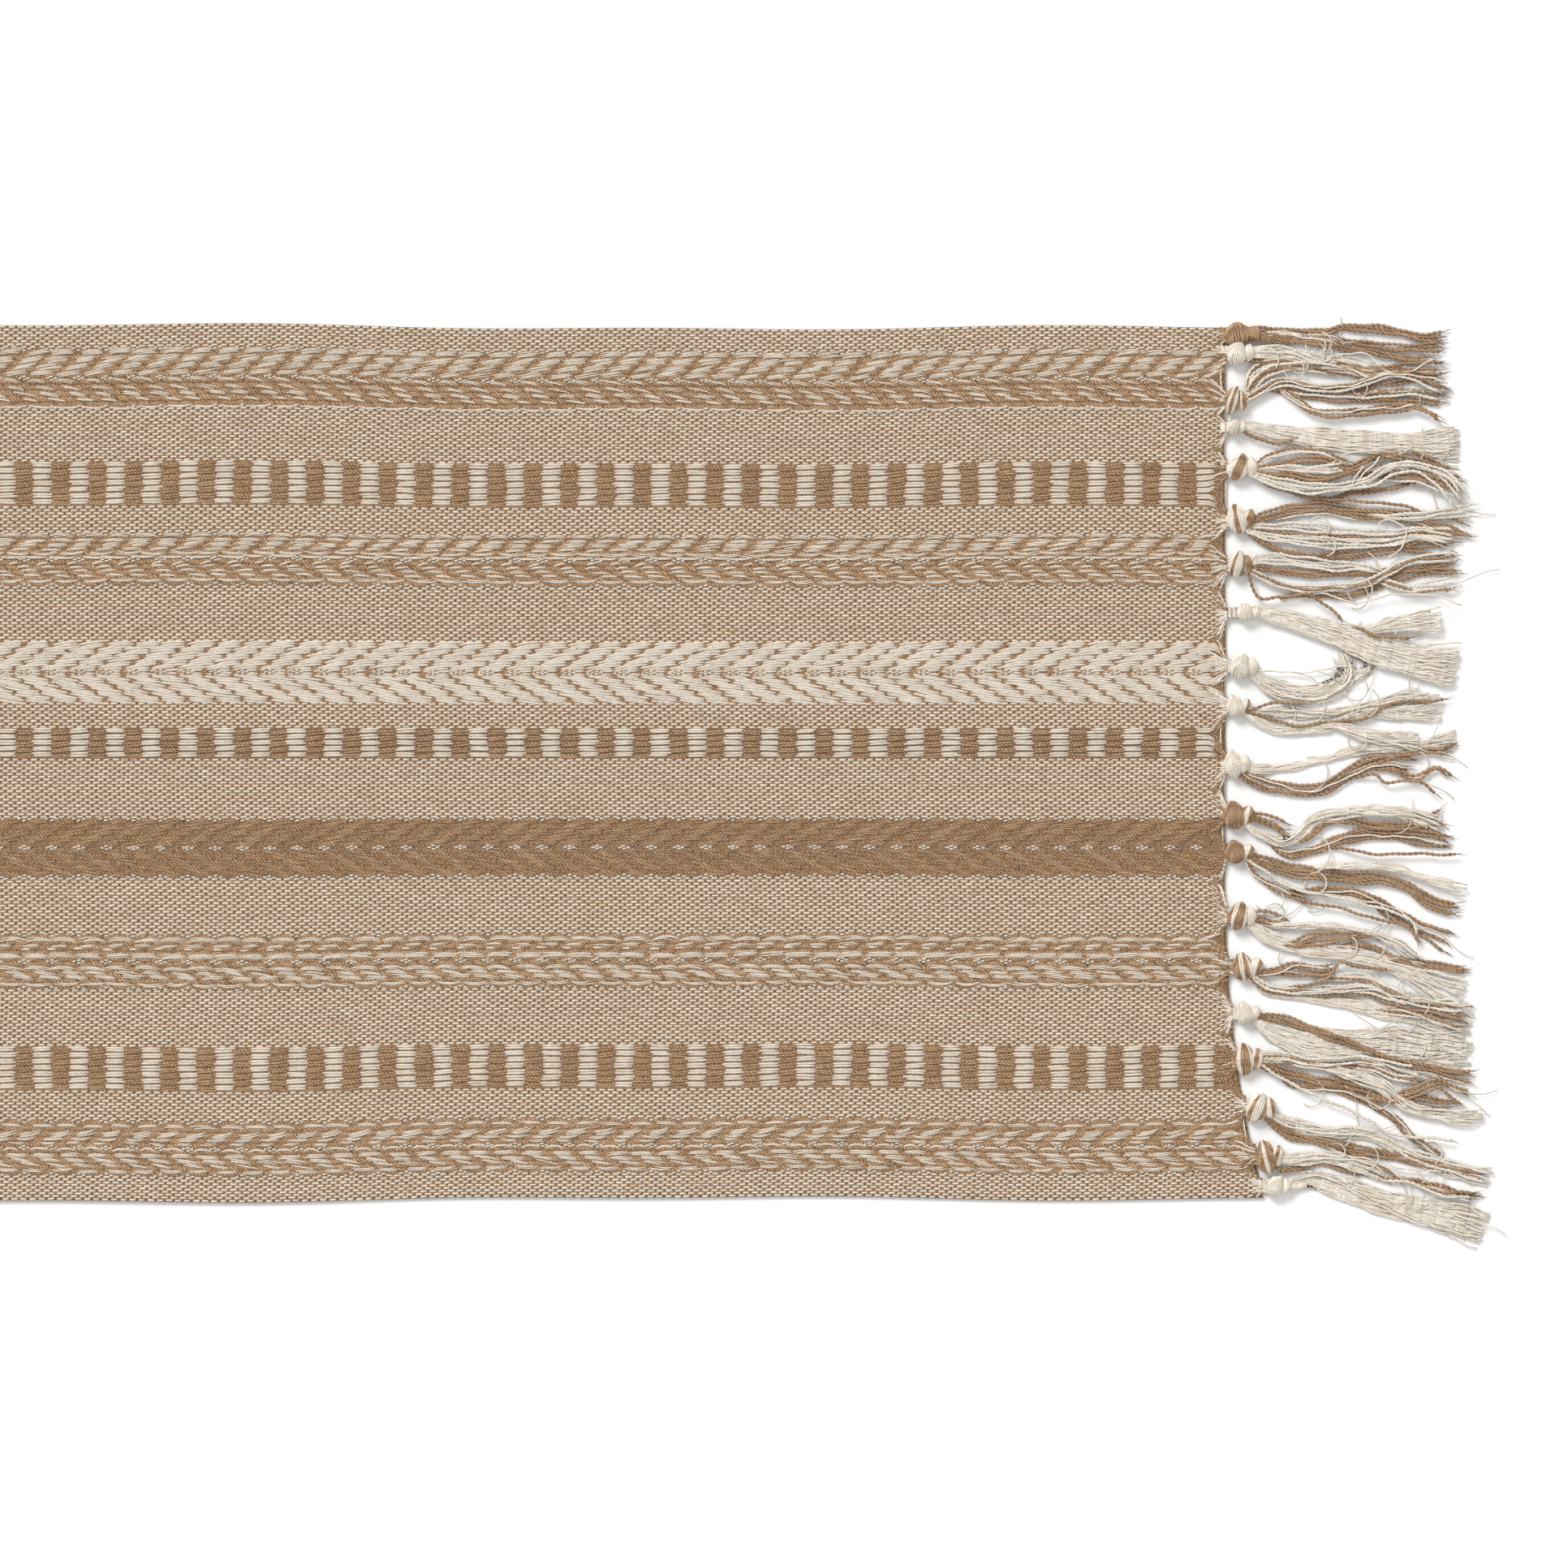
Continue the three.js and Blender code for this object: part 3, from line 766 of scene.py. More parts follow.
        ("B", [(10, 22, 0), (23, 18.9, 0), (32, 16.5, 0), (44, 17.5, 0), (51, 18.4, 0), (60, 19.4, 0), (66, 21.8, 0),
            (76, 26, 0), (96, 27.5, 0)]),
        ("cc", [(47, 16.5, 2.5), (59, 12.8, 4.7), (72, 10.9, 5.7), (85, 9.9, 4.7)]),
    ]),
    (5.8, 11, 6.4, "CCCCCCCC", [  # 11
        ("cccc", [(10, -2.4, 3.4), (22, -2.4, 3.8), (33, -1, 2.3), (47, 2.3, 2.5), (59, 5.6, 3.4), (71, 7.1, 4.7),
            (85, 7.1, 4.7), (102, 8.5, 5.7)]),
        ("BBcBB", [(9, -5.3, 3.8), (19, -9.5, 5.7), (30, -11.9, 5.7), (41, -11.9, 5.3), (51, -7.2, 5.3),
            (61, -1.5, 5.3), (72, 0.4, 4.7), (82, -0.5, 3.8)]),
        ("BB", [(72, 1.4, 1.9), (85, 5.2, 1.9), (100, 5.2, 4.7)]),
        ("BB", [(72, -2.4, 1.9), (84, -6.2, 1.9), (93, -2.4, 1.5), (99, -7.2, 1.9)]),
        ("B", [(65, -5.3, 0), (71, -9.1, 0), (85, -7.6, 0), (92, -12.8, 0)]),
    ]),
    (6.5, 13, 6.4, "BBBBBBCB", [  # 12
        ("BBB", [(25, -38.4, 1.5), (33, -39.4, 3.4), (42, -37.5, 3.8), (51, -33.2, 4.7), (63, -30.9, 5.7),
            (76, -30.9, 5.7), (90, -32.8, 7.6), (98, -34.7, 5.7)]),
        ("BBB", [(35, -32.8, 1.9), (44, -26.1, 2.8), (55, -25.2, 3.8), (66, -27.1, 4.7), (81, -28, 4.7),
            (95, -24.2, 6.6)]),
        ("BBBB", [(11, -22.8, 2.8), (19, -25.2, 6.6), (27, -29, 4.7), (29, -30.4, 1.9)]),
        ("cccc", [(10, -26.6, 1.9), (19, -32.8, 3.4), (27, -34.7, 3.8), (33, -31.8, 4.7), (40, -25.2, 5.7),
            (51, -21.9, 4.7), (66, -20.9, 3.8), (81, -22.3, 4.7), (94, -28, 5.7)]),
        ("B", [(51, -37, 0), (63, -38.9, 0), (76, -39.9, 0), (101, -39.9, 0)]),
    ]),
    (6.9, 12, 5.3, "BBBBBCCB", [  # 13
        ("BBB", [(44, -55.5, 2.8), (57, -56.5, 3.8), (66, -60.3, 3.8), (76, -66.9, 4.7), (90, -73.5, 5.7),
            (98, -77.3, 6.6)]),
        ("BBBB", [(10, -39.9, 2.5), (19, -43.2, 5.7), (31, -47, 6.6), (44, -48.4, 6.6), (57, -49.8, 4.7),
            (71, -50.3, 4.7), (82, -54.6, 4.7), (91, -60.3, 4.7), (100, -63.1, 3.8)]),
        ("BB", [(10, -42.2, 1.9), (15, -49.8, 2.5), (27, -56.5, 2.8), (38, -60.3, 2.5)]),
        ("B", [(36, -60.3, 0), (49, -63.1, 0), (66, -67.8, 0), (80, -71.6, 0), (85, -77.3, 0)]),
        ("cC", [(10, -41.3, 1.3), (19, -47.9, 1.5), (29, -53.6, 1.5), (44, -57.4, 1.5), (57, -59.3, 1.9),
            (71, -63.1, 1.9), (82, -68.8, 1.9), (86, -77.3, 1.9)]),
        ("cc", [(47, -45.1, 1.9), (66, -44.6, 2.5), (76, -46, 1.9), (90, -50.8, 2.8), (106, -54.6, 3.8)]),
    ]),
    (8.3, 12, 6.4, "BCBBCCCC", [  # 14
        ("BB", [(11, -68.3, 1.3), (16, -66.4, 3.8), (22, -68.3, 3.8), (27, -70.2, 1.9)]),
        ("BB", [(61, -79.2, 1.9), (76, -84.9, 2.5), (90, -87.8, 2.8), (105, -89.7, 3.8)]),
        ("cccccc", [(11, -69.7, 2.8), (19, -75.4, 5.7), (29, -79.2, 5.7), (47, -82.1, 5.7), (66, -85.9, 5.7),
            (81, -90.6, 8.5), (95, -96.3, 12.3), (105, -100.1, 13.3)]),
        ("BBBB", [(28, -79.2, 1.5), (38, -77.3, 5.7), (49, -75.4, 5.7), (61, -75.4, 3.8), (67, -76.4, 0.9)]),
        ("cCc", [(23, -70.7, 1.9), (36, -70.7, 2.8), (49, -71.6, 1.9), (65, -74.5, 1.9), (76, -78.3, 2.8),
            (84, -84, 2.8)]),
    ]),
    (9.3, 13, 6.2, "BBCBCCCB", [  # 15
        ("ccc", [(17, -98.3, 1.9), (33, -102.1, 2.8), (49, -104, 3.8), (66, -107.8, 4.7), (81, -110.6, 5.7),
            (95, -113.5, 7.6), (108, -116.3, 8.5)]),
        ("BBBB", [(13, -91.2, 2.3), (22, -91.2, 3.8), (31, -89.8, 5.7), (42, -90.7, 3.8), (47, -89.8, 2.8)]),
        ("CBCB", [(13, -93.1, 2.3), (21, -98.3, 3.4), (33, -99.2, 4.7), (47, -99.2, 5.7), (62, -99.2, 6.6),
            (76, -103, 5.7), (90, -105.9, 5.7), (108, -106.4, 4.7)]),
        ("CBC", [(47, -93.6, 2.8), (61, -93.6, 4.7), (72, -98.3, 4.7), (81, -102.1, 3.8)]),
        ("BC", [(76, -108.7, 2.8), (90, -110.6, 3.8), (104, -114.4, 3.8)]),
        ("B", [(42, -95.5, 0), (47, -91.7, 0), (51, -86.9, 0), (57, -87.9, 0), (71, -89.8, 0)]),
    ]),
    (8.4, 10, 5.3, "CCCCCCCC", [  # 16
        ("ccccc", [(14, -111.6, 2.8), (22, -117.3, 7.6), (33, -122, 10.4), (47, -123.9, 11.4), (62, -125.8, 12.3),
            (76, -127.7, 13.3), (90, -129.6, 14.2), (108, -131.5, 15.2)]),
        ("cc", [(44, -116.3, 1.9), (57, -118.2, 2.8), (72, -117.3, 4.7), (85, -119.2, 5.7), (107, -123, 6.6)]),
        ("BBB", [(14, -110.2, 1.9), (24, -111.1, 3.8), (35, -114.4, 3.8), (47, -119.2, 2.8), (62, -124.8, 2.5),
            (76, -129.6, 2.5), (90, -132.4, 2.8), (108, -136.2, 3.8)]),
    ]),
    (6.0, 13, 7.1, "BCBBCCBC", [  # 17
        ("BBB", [(30, -140, 1.9), (44, -141.9, 2.8), (57, -144.8, 3.8), (68, -150.5, 3.8), (76, -156.1, 3.8),
            (84, -163.7, 2.8), (94, -170.4, 2.8)]),
        ("BBB", [(15, -130.1, 2.5), (24, -134.3, 4.7), (36, -137.2, 3.8), (49, -139.1, 4.7), (63, -141.9, 5.7),
            (76, -145.7, 5.7), (90, -148.6, 5.7), (99, -149.5, 4.7)]),
        ("CBCBC", [(16, -128.2, 3.8), (25, -128.6, 5.7), (36, -130.5, 5.7), (49, -131.5, 5.7), (63, -131.5, 6.6),
            (76, -135.3, 6.6), (85, -137.2, 5.7)]),
        ("BB", [(72, -146.7, 2.8), (82, -143.8, 3.8), (93, -139.1, 4.7), (98, -141, 4.7), (106, -145.7, 5.7)]),
        ("ccc", [(47, -133.4, 3.8), (66, -139.1, 5.7), (82, -150.5, 4.7), (95, -153.3, 4.7), (113, -154.2, 2.8)]),
        ("C", [(17, -131.5, 0), (32, -141, 0), (51, -149.5, 0), (63, -156.1, 0), (76, -161.8, 0), (100, -164.2, 0)]),
    ]),
    (8.4, 12, 6.9, "CBCCBCCB", [  # 18
        ("BBB", [(20, -155.7, 2.3), (29, -161.8, 4.7), (40, -164.7, 3.8), (52, -167.5, 3.8), (66, -169.9, 3.8),
            (81, -173.2, 3.8), (95, -176.1, 3.8), (112, -180.8, 2.8)]),
        ("CcCc", [(20, -153.3, 2.5), (30, -158, 5.7), (44, -160.9, 4.7), (57, -160.9, 4.7), (69, -164.7, 4.7),
            (82, -171.3, 5.7), (95, -176.1, 5.7), (116, -181.3, 4.7)]),
        ("c", [(49, -169.4, 0), (66, -174.2, 0), (82, -177, 0), (95, -178.9, 0)]),
    ]),
    (7.6, 11, 7.6, "BBCBBCBC", [  # 19
        ("BB", [(25, -177, 1.5), (33, -176.5, 2.8), (44, -175.1, 2.5), (55, -177.9, 1.9), (63, -179.8, 1.9)]),
        ("BB", [(61, -172.3, 1.5), (69, -176.1, 1.9), (78, -180.8, 1.9), (87, -183.6, 1.9), (97, -185.5, 2.8),
            (112, -189.3, 4.7)]),
        ("cCcCc", [(25, -172.7, 2.8), (33, -172.3, 5.7), (44, -171.8, 5.7), (55, -174.2, 5.7), (66, -178.9, 4.7),
            (71, -181.7, 2.8)]),
        ("BC", [(71, -181.7, 1.9), (84, -182.7, 2.8), (95, -187.4, 2.8), (108, -188.4, 2.8)]),
    ]),
    (8.8, 10, 5.3, "CCCCCCC", [  # 20
        ("ccccc", [(29, -184.1, 3.8), (38, -181.3, 6.6), (49, -184.6, 9.5), (63, -189.3, 10.4), (76, -193.1, 10.4),
            (90, -196, 11.4), (104, -199.8, 12.3), (114, -203.6, 10.4)]),
        ("cccc", [(29, -184.6, 2.8), (38, -181.7, 5.7), (49, -185.1, 8.5), (63, -189.8, 9.5), (76, -193.6, 9.5),
            (90, -196.4, 10.4), (106, -200.2, 10.4)]),
        ("c", [(100, -196.9, 0), (114, -200.7, 0), (123, -205.4, 0)]),
    ]),
]
RAISED = {8: 1.8}  # tassels lying over their neighbour, and by how many millimetres
STRAYS = {2: 7, 3: 6, 5: 7, 6: 7, 8: 9, 9: 6, 10: 9, 11: 6, 13: 8, 14: 7, 15: 8, 16: 9, 17: 9, 18: 6, 19: 6, 20: 5}
FEW_STRAYS = 3  # the loose threads of every other tassel
FINE_PER_YARN = 4
YARN_PITCH = 1.02 * MM
PLY_TURN = 2 * math.pi / (5 * MM)  # how fast a plied yarn turns along its length
WOUND_TURN = 2 * math.pi / (14 * MM)
STRAND_BAKE = 20 * MM  # the length of strand that one bake tile holds
# Sections of a strand, as shares of its radius: two plies, two plies pulled tight round a knot, one ply
PLIED = np.array([1.0, 0.7, 0.7, 1.0, 0.7, 0.7])
WOUND = np.array([1.0, 0.9, 0.9, 1.0, 0.9, 0.9])
SINGLE = np.ones(4)
STRAIGHT_END = END_X.min()
KNOT_HEIGHT = 4.0 * MM  # of a knot's middle
LOOSE_END = 22 * MM  # the strands of a bundle part over this much of its end



def distance_along(path):
    """How far each point is from the first, along the path."""
    return np.concatenate([[0], np.cumsum(np.linalg.norm(np.diff(path, axis=0), axis=1))])


def resample(controls, spacing):
    """A smooth curve through the control rows, stepped evenly."""
    controls = np.asarray(controls, float)
    padded = np.concatenate([2 * controls[:1] - controls[1:2], controls, 2 * controls[-1:] - controls[-2:-1]])
    t = np.linspace(0, 1, 12, endpoint=False)[:, None]
    parts = []
    for a, b, c, d in zip(padded, padded[1:], padded[2:], padded[3:]):
        parts.append(
            0.5 * (2 * b + (c - a) * t + (2 * a - 5 * b + 4 * c - d) * t**2 + (3 * b - a - 3 * c + d) * t**3)
        )
    fine = np.concatenate([*parts, controls[-1:]])
    run = distance_along(fine[:, :2])
    steps = np.linspace(0, run[-1], max(4, int(run[-1] / spacing) + 1))
    return np.column_stack([np.interp(steps, run, column) for column in fine.T]), steps


def rings_along(path, reach, angle, reference, flat):
    """The rings of a tube, and the points that close its two ends."""
    tangent = np.gradient(path, axis=0)
    tangent /= np.linalg.norm(tangent, axis=1)[:, None]
    across = np.cross(np.asarray(reference, float), tangent)
    across /= np.linalg.norm(across, axis=1)[:, None]
    up = np.cross(tangent, across) * flat
    rings = (
        path[:, None]
        + (reach * np.cos(angle))[..., None] * across[:, None]
        + (reach * np.sin(angle))[..., None] * up[:, None]
    )
    ends = np.array([path[0] - tangent[0] * reach[0, 0] * 0.6, path[-1] + tangent[-1] * reach[-1, 0] * 0.6])
    return rings.reshape(-1, 3), ends


def tube(batch, path, radius, slot, profile=PLIED, twist=PLY_TURN, reference=(0, 0, 1), flat=1.0):
    """A closed tube along a path, its section turning like plied yarn."""
    count, sides = len(path), len(profile)
    run = distance_along(path)
    angle = np.arange(sides) * 2 * math.pi / sides + (twist * run)[:, None]
    reach = np.broadcast_to(radius, count)[:, None] * profile
    points = np.concatenate(rings_along(path, reach, angle, reference, flat))
    index = np.arange(count * sides).reshape(count, sides)
    after = np.roll(index, -1, axis=1)
    walls = np.stack([index[:-1], after[:-1], after[1:], index[1:]], axis=-1).reshape(-1, 4)
    first = np.column_stack([after[0], index[0], np.full(sides, count * sides)])
    last = np.column_stack([index[-1], after[-1], np.full(sides, count * sides + 1)])
    turn = np.tile(np.abs(np.arange(sides) * 2 / sides - 1), count)
    uv = np.concatenate([np.column_stack([np.repeat(run, sides), turn * ROUND]), [[0, 0], [run[-1], 0]]])
    bake = np.column_stack([uv[:, 0] / STRAND_BAKE, 0.5 * slot + 0.02 + 0.46 * uv[:, 1] / ROUND])
    batch.add(points, uv, bake, walls, np.concatenate([first, last]), slot=slot)


def wobble(run, amount, wave):
    """A sideways drift along a strand."""
    phase = random.uniform(0, 2 * math.pi, 3)
    grow = smooth(run / (15 * MM))
    return amount * grow * (
        np.sin(run * 2 * math.pi / wave + phase[0])
        + 0.6 * np.sin(run * 2 * math.pi / (wave * 0.43) + phase[1])
        + 0.8 * np.sin(run * 2 * math.pi / (wave * 2.3) + phase[2])
    )


# Strands by letter: radius, step along the path, sway and its wavelength, how far loose ends part, the longest
# cut, section, turning
PLY = (0.9 * MM, 0.72 * MM, 0.34 * MM, 32 * MM, 0.7 * MM, 5 * MM, PLIED, PLY_TURN)
FINE = (0.4 * MM, 2.2 * MM, 0.38 * MM, 24 * MM, 1.1 * MM, 9 * MM, SINGLE, 2 * PLY_TURN)
STRANDS = {"B": PLY, "C": PLY, "c": FINE}


def skirt_strand(batch, controls, share, letter, layer, top, alone, crossing):
    """One yarn of a bundle: share is its place across the width, layer its height in the pile, top its start's,
    crossing how far it moves across the width on its way."""
    radius, step, sway, wave, parting, longest_cut, section, turning = STRANDS[letter]
    slot = int(letter == "B")
    rows, run = resample(controls, step)
    line, width = rows[:, :2], rows[:, 2]
    along = np.gradient(line, axis=0)
    along /= np.linalg.norm(along, axis=1)[:, None]
    normal = np.column_stack([-along[:, 1], along[:, 0]])
    loose = 0 if alone else smooth((run - run[-1] + LOOSE_END) / LOOSE_END)
    sideways = wobble(run, sway, wave)
    sideways = sideways + loose * (0.35 * share * width + random.normal(0, parting))
    share = share + (crossing - share * 0.5 * abs(crossing)) * smooth(run / run[-1])
    plan = line + normal * (share * width + sideways)[:, None]
    rest = radius + layer * MM + wobble(run, 0.12 * MM, 20 * MM)
    height = np.maximum(rest + (top - rest) * (1 - smooth(run / (18 * MM))), radius * 1.02)
    cut = len(run) - (0 if alone else int(random.uniform(0, 1) ** 1.6 * longest_cut / step))
    path = np.column_stack([plan, height])[:cut]
    thick = radius * (1 + 0.06 * np.sin(run[:cut] * 900 + random.uniform(0, 6)))
    tube(batch, path, thick, slot, section, turning)
    if section is PLIED:
        fray(batch, path[-1], path[-1] - path[-3], slot)


def fray(batch, tip, direction, slot):
    """Loose fibres where a plied yarn is cut."""
    heading = math.atan2(direction[1], direction[0])
    for _ in range(3):
        turn = heading + random.normal(0, 0.22)
        length = random.uniform(2.5, 6.0) * MM
        t = np.linspace(-0.4, 1, 4)
        bend = random.normal(0, 0.12) * length * t**2
        path = np.column_stack([
            tip[0] + length * t * math.cos(turn) - bend * math.sin(turn),
            tip[1] + length * t * math.sin(turn) + bend * math.cos(turn),
            np.maximum(tip[2] * (1 - 0.3 * t), 0.3 * MM),
        ])
        tube(batch, path, 0.16 * MM * np.linspace(1.6, 0.5, 4), slot, np.ones(3), 0.0)


def lobe(batch, centre, size, letters, tilt):
    """A ball of yarns wound across the tassel over a plain core."""
    reach_x, reach_y, reach_z = size
    slots = [int(letter == "B") for letter in letters for _ in range(2)]
    t = np.linspace(-0.9, 0.9, 9)
    core = np.column_stack([centre[0] + t * 0.86 * reach_x, np.full(9, centre[1]), np.full(9, centre[2])])
    thick = (reach_y - 0.7 * MM) * np.sqrt(1 - t**2)
    flat = (reach_z - 0.7 * MM) / (reach_y - 0.7 * MM)
    tube(batch, core, thick, int(np.mean(slots) > 0.5), np.ones(12), 0.0, flat=flat)
    angle = np.linspace(0, 2 * math.pi, 24) - math.pi / 2
    cos_tilt, sin_tilt = math.cos(tilt), math.sin(tilt)
    for k, slot in enumerate(slots):
        place_round = ((k + 0.5) / len(slots) * 2 - 1) * 1.22
        yarn = 1.3 * reach_x / len(slots) * (1 + random.normal(0, 0.08))
        along = (reach_x - yarn) * math.sin(place_round) * (0.4 + 0.6 * np.abs(np.sin(angle)))
        along = along + 0.14 * reach_x * np.cos(angle + 0.25 * k) + 0.06 * reach_x * random.normal() * np.cos(angle)
        across = (reach_y - 0.8 * yarn) * (0.5 + 0.5 * math.cos(place_round)) * np.cos(angle)
        path = np.column_stack([
            centre[0] + along * cos_tilt - across * sin_tilt,
            centre[1] + along * sin_tilt + across * cos_tilt,
            centre[2] + (reach_z - yarn) * math.cos(place_round) ** 0.6 * np.sin(angle),
        ])
        tube(batch, path, yarn, slot, WOUND, WOUND_TURN, reference=(cos_tilt, sin_tilt, 0))


def knot(batch, hinge, middle, length, half_width, letters):
    """A neck of warp yarns, then a hard knot of two lobes."""
    x, y, _ = hinge
    start = x + middle - length / 2
    for share in np.linspace(-1, 1, 6):
        letter = letters[random.integers(len(letters))]
        path = np.column_stack([
            np.linspace(x - 1.0 * MM, start + 0.3 * length, 6),
            y + share * half_width * np.array([0.5, 0.42, 0.4, 0.42, 0.5, 0.6]),
            np.linspace(1.5 * MM, KNOT_HEIGHT, 6),
        ])
        tube(batch, path, 0.95 * MM, int(letter == "B"))
    tilt = random.uniform(0.12, 0.42) * random.choice([-1, 1])
    split = max(3, round(0.66 * len(letters)))
    first = (start + 0.36 * length, y, KNOT_HEIGHT + 0.1 * MM)
    second = (start + 0.79 * length, y, KNOT_HEIGHT - 0.6 * MM)
    lobe(batch, first, (0.4 * length, half_width, KNOT_HEIGHT), letters[:split], tilt)
    lobe(batch, second, (0.27 * length, 0.68 * half_width, 0.8 * KNOT_HEIGHT), letters[split:], -0.8 * tilt)


def lead_in(controls, knot_end, knot_point, others):
    """Start a bundle inside its knot, or low under the pile where it comes out of it."""
    x, y, width = controls[0]
    if x < knot_end + 6 * MM:
        return np.concatenate([[(*knot_point, 0.8 * width)], controls]), KNOT_HEIGHT
    near = [point for other in others for point in other if 5 * MM < x - point[0] < 22 * MM]
    if near:
        brown_bed_and_shade = min(near, key=lambda point: abs(point[1] - y))
        controls = np.concatenate([[(brown_bed_and_shade[0], brown_bed_and_shade[1], 0.3 * width)], controls])
    return controls, 0.6 * MM


def stray(batch, lines):
    """A loose fine thread that leaves a bundle part of the way along and wanders off."""
    line = lines[random.integers(len(lines))]
    rows, run = resample(line, 2 * MM)
    start = int(len(run) * random.uniform(0.3, 0.8))
    ahead = rows[min(start + 3, len(rows) - 1)] - rows[max(start - 3, 0)]
    heading = math.atan2(ahead[1], ahead[0]) + random.normal(0, 0.25)
    count = random.integers(8, 18)
    curl = random.choice([0.0, 0.0, 0.32, -0.32])
    bend = curl + random.normal(0, 0.07) + random.normal(0, 0.06) * np.sin(np.linspace(0, 5, count))
    furthest = 7.0 if curl else 1.5
    heading = np.clip(heading + np.cumsum(bend), -furthest, furthest)
    steps = 1.7 * MM * np.column_stack([np.cos(heading), np.sin(heading)])
    plan = rows[start, :2] + np.cumsum(steps, axis=0)
    height = random.uniform(2.2, 4.6) * MM * (1 - 0.7 * np.linspace(0, 1, count))
    tube(batch, np.column_stack([plan, height]), (random.uniform(0.2, 0.3) + 0.2 * abs(curl)) * MM, 0, SINGLE, 0.0)


def spread(pattern, width):
    """The yarns of a bundle: its pattern stretched to fill the width, fine yarns several for one."""
    count = max(len(pattern), round(width / YARN_PITCH))
    letters = [pattern[k * len(pattern) // count] for k in range(count)]
    each = FINE_PER_YARN if pattern.count("c") > 1 else 1
    return [c for letter in letters for c in letter * (each if letter == "c" else 1)]


def bundle(batch, pattern, controls, width, level, top):
    """The yarns of one bundle side by side, now and then with a fine thread that wanders across them."""
    alone = len(pattern) == 1
    strands = spread(pattern, width)
    for place_in_bundle, letter in enumerate(strands):
        share = 0.5 - (place_in_bundle + 0.5) / len(strands)
        layer = level + random.uniform(0, 0.9) + (0.4 if alone else 0)
        crossing = 0.0 if alone else random.normal(0, 0.05 if letter == "c" else 0.1)
        skirt_strand(batch, controls, share, letter, layer, top, alone, crossing)
    if not alone and random.random() < 0.3:
        side_from = random.uniform(0.2, 0.5) * random.choice([-1, 1])
        skirt_strand(batch, controls, side_from, "c", level + 1.9, top, False, -1.9 * side_from)


def tassel_slot(bundles):
    """The material slot of a tassel: cream, brown or both."""
    colours = set("".join(pattern for pattern, _ in bundles).upper())
    plain = {"C": "tassel_cream", "B": "tassel_brown"}
    return plain[colours.pop()] if len(colours) == 1 else "tassel_mixed"


def tassel(side_name, number):
    """A knot and its skirt. The left end's tassels are the right end's turned half a turn."""
    middle, length, half_width, letters, bundles = TASSELS[number - 1]
    batch = Batch()
    hinge = swing("right", number)
    knot(batch, hinge, middle * MM, length * MM, half_width * MM, letters)
    knot_end = hinge[0] + (middle + length / 2) * MM
    knot_point = (knot_end - 4 * MM, hinge[1])
    lines = [np.array(controls, float) * MM + (STRAIGHT_END, 0, 0) for _, controls in bundles]
    for k, (pattern, _) in enumerate(bundles):
        controls, top = lead_in(lines[k], knot_end, knot_point, lines[:k] + lines[k + 1:])
        bundle(batch, pattern, controls, lines[k][:, 2].mean(), 0.5 * k + RAISED.get(number, 0), top)
    for _ in range(STRAYS.get(number, FEW_STRAYS)):
        stray(batch, lines)
    if side_name == "left":
        batch.points = [points * (-1, -1, 1) for points in batch.points]
    name = f"tassel_{side_name}_{number:02d}"
    piece = batch.build(f"knotted_{name}", cream_strand, brown_strand)
    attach(piece, name)
    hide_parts(name)
    tassel_slot(bundles)
    return piece


# How many of the warp ends that come out of a band are brown
BROWN_SHARE = {"plain": 0.45, "cream": 0.1, "brown": 1.0, "check": 0.9, "braid": 0.6}


def band_at(y):
    """The kind of band at y, or plain."""
    found = [key for key, (centre, width) in BANDS.items() if abs(y - centre) < width / 2]
    return found[0].split("_")[0] if found else "plain"


def fan(batch, side, knot_x, knot_y, reach_y, start_y):
    """One warp end running from the weave into its knot."""
    kind = band_at(start_y)
    reach = random.uniform(2.5, 4.5) * MM if kind == "plain" else random.uniform(4.5, 8.5) * MM
    t = np.linspace(0, 1, 9)
    end_x = woven_end(start_y, side)
    finish_y = knot_y + np.clip(0.42 * (start_y - knot_y), -reach_y, reach_y)
    path = np.column_stack([
        side * (end_x - reach + (abs(knot_x) + PAST_HINGE - end_x + reach) * t),
        start_y + (finish_y - start_y) * smooth(t),
        (1.35 + 1.5 * t**2) * MM,
    ])
    tube(batch, lay(path), random.uniform(0.5, 0.62) * MM, int(random.random() < BROWN_SHARE[kind]))


def weft_between(batch, side, first_y, second_y):
    """The last weft yarns on their way from one knot to the next."""
    t = np.linspace(0, 1, max(6, int(abs(first_y - second_y) / (1.2 * MM))))
    line_y = first_y + (second_y - first_y) * t
    busy = band_at(line_y[len(t) // 2]) != "plain"
    for strand in range(3 if busy else 2):
        inward = (0.55 * strand + 0.1) * MM + 0.8 * MM * np.sin(math.pi * t) * (1 + 0.3 * random.normal())
        path = np.column_stack([
            side * (woven_end(line_y, side) - inward), line_y,
            (1.0 + 0.5 * strand) * MM + 0.3 * MM * np.cos(math.pi * t + strand),
        ])
        tube(batch, path, 0.5 * MM, int(random.random() < 0.8))


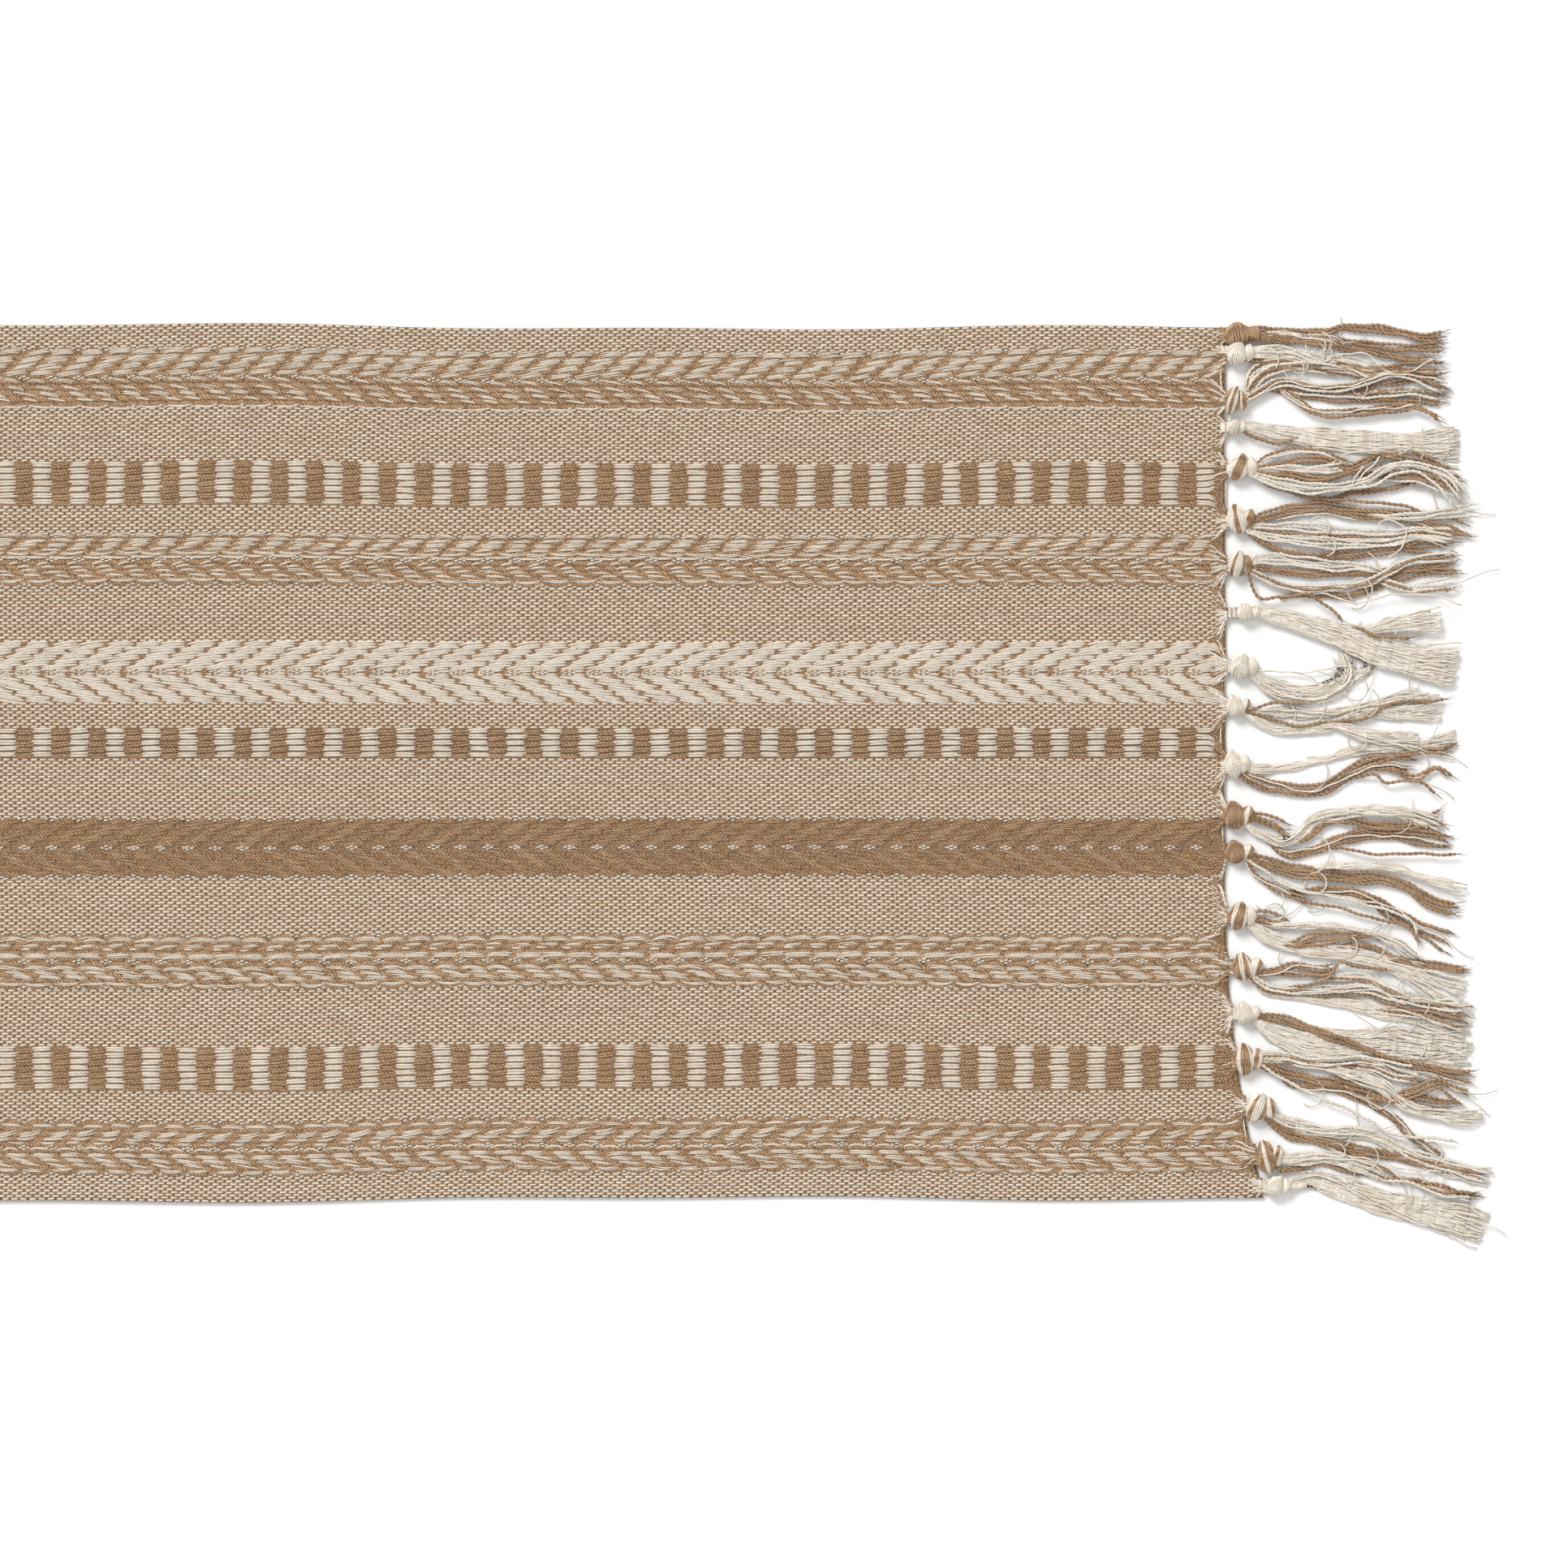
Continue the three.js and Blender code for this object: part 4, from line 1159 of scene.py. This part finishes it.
def edge_yarns(side_name):
    """Warp ends fanning into the knots, and the last weft yarns between them."""
    side, batch = SIDES[side_name], Batch()
    knots = [swing(side_name, number) for number in range(1, TASSEL_COUNT + 1)]
    ys = np.array([hinge[1] for hinge in knots])
    limits = np.sort(np.concatenate([[-HALF_WIDTH, HALF_WIDTH], (ys[:-1] + ys[1:]) / 2]))
    for number, (x, y, _) in enumerate(knots):
        above = np.searchsorted(limits, y)
        for start_y in np.arange(limits[above - 1] + 0.5 * MM, limits[above] - 0.2 * MM, 0.85 * MM):
            fan(batch, side, x, y, 0.62 * TASSELS[number][2] * MM, start_y)
    for first, second in zip(knots[:-1], knots[1:]):
        weft_between(batch, side, first[1], second[1])
    piece = batch.build(f"edge_yarns_{side_name}", cream_strand, brown_strand)
    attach(piece, f"{side_name}_drop")
    return piece


fringes = {
    side_name: [edge_yarns(side_name)] + [tassel(side_name, n) for n in range(1, TASSEL_COUNT + 1)]
    for side_name in SIDES
}


# ---------------------------------------------------------------- stage
def floor(half_size=12.0, level=-0.4 * MM):
    """A white floor just under the cloth."""
    batch = Batch()
    corners = np.array([(x * half_size, y * half_size, level) for x, y in ((-1, -1), (1, -1), (1, 1), (-1, 1))])
    batch.add(corners, corners[:, :2], corners[:, :2], np.array([[0, 1, 2, 3]]))
    look = Look("floor_white", 0.9, 0.0)
    look.inputs["Base Color"].default_value = (0.92, 0.925, 0.93, 1)
    batch.build("floor", look.material)


def lighting():
    """A bright soft surround, and a broad sun from the upper left that leaves faint shadows."""
    world = bpy.data.worlds.new("soft_studio")
    world.use_nodes = True
    surround = world.node_tree.nodes["Background"].inputs
    surround["Color"].default_value = (1.0, 0.995, 0.985, 1)
    surround["Strength"].default_value = 0.76
    bpy.context.scene.world = world
    sun_data = bpy.data.lights.new("key", "SUN")
    sun_data.energy = 2.2
    sun_data.angle = math.radians(24)
    sun_data.color = (1.0, 0.99, 0.97)
    sun = bpy.data.objects.new("key", sun_data)
    sun.rotation_euler = (math.radians(-34), math.radians(-30), 0)
    bpy.context.scene.collection.objects.link(sun)


def camera(height=2.2, frame_width=0.684, centre_x=0.7231, centre_y=-0.0092):
    """Straight above the right-hand end, with a long lens."""
    data = bpy.data.cameras.new("camera")
    data.sensor_width = 36
    data.lens = data.sensor_width * height / frame_width
    thing = bpy.data.objects.new("camera", data)
    thing.location = (centre_x, centre_y, height)
    bpy.context.scene.collection.objects.link(thing)
    bpy.context.scene.camera = thing


floor()
lighting()
camera()
bpy.context.scene.view_settings.view_transform = "Standard"

bpy.context.view_layer.update()
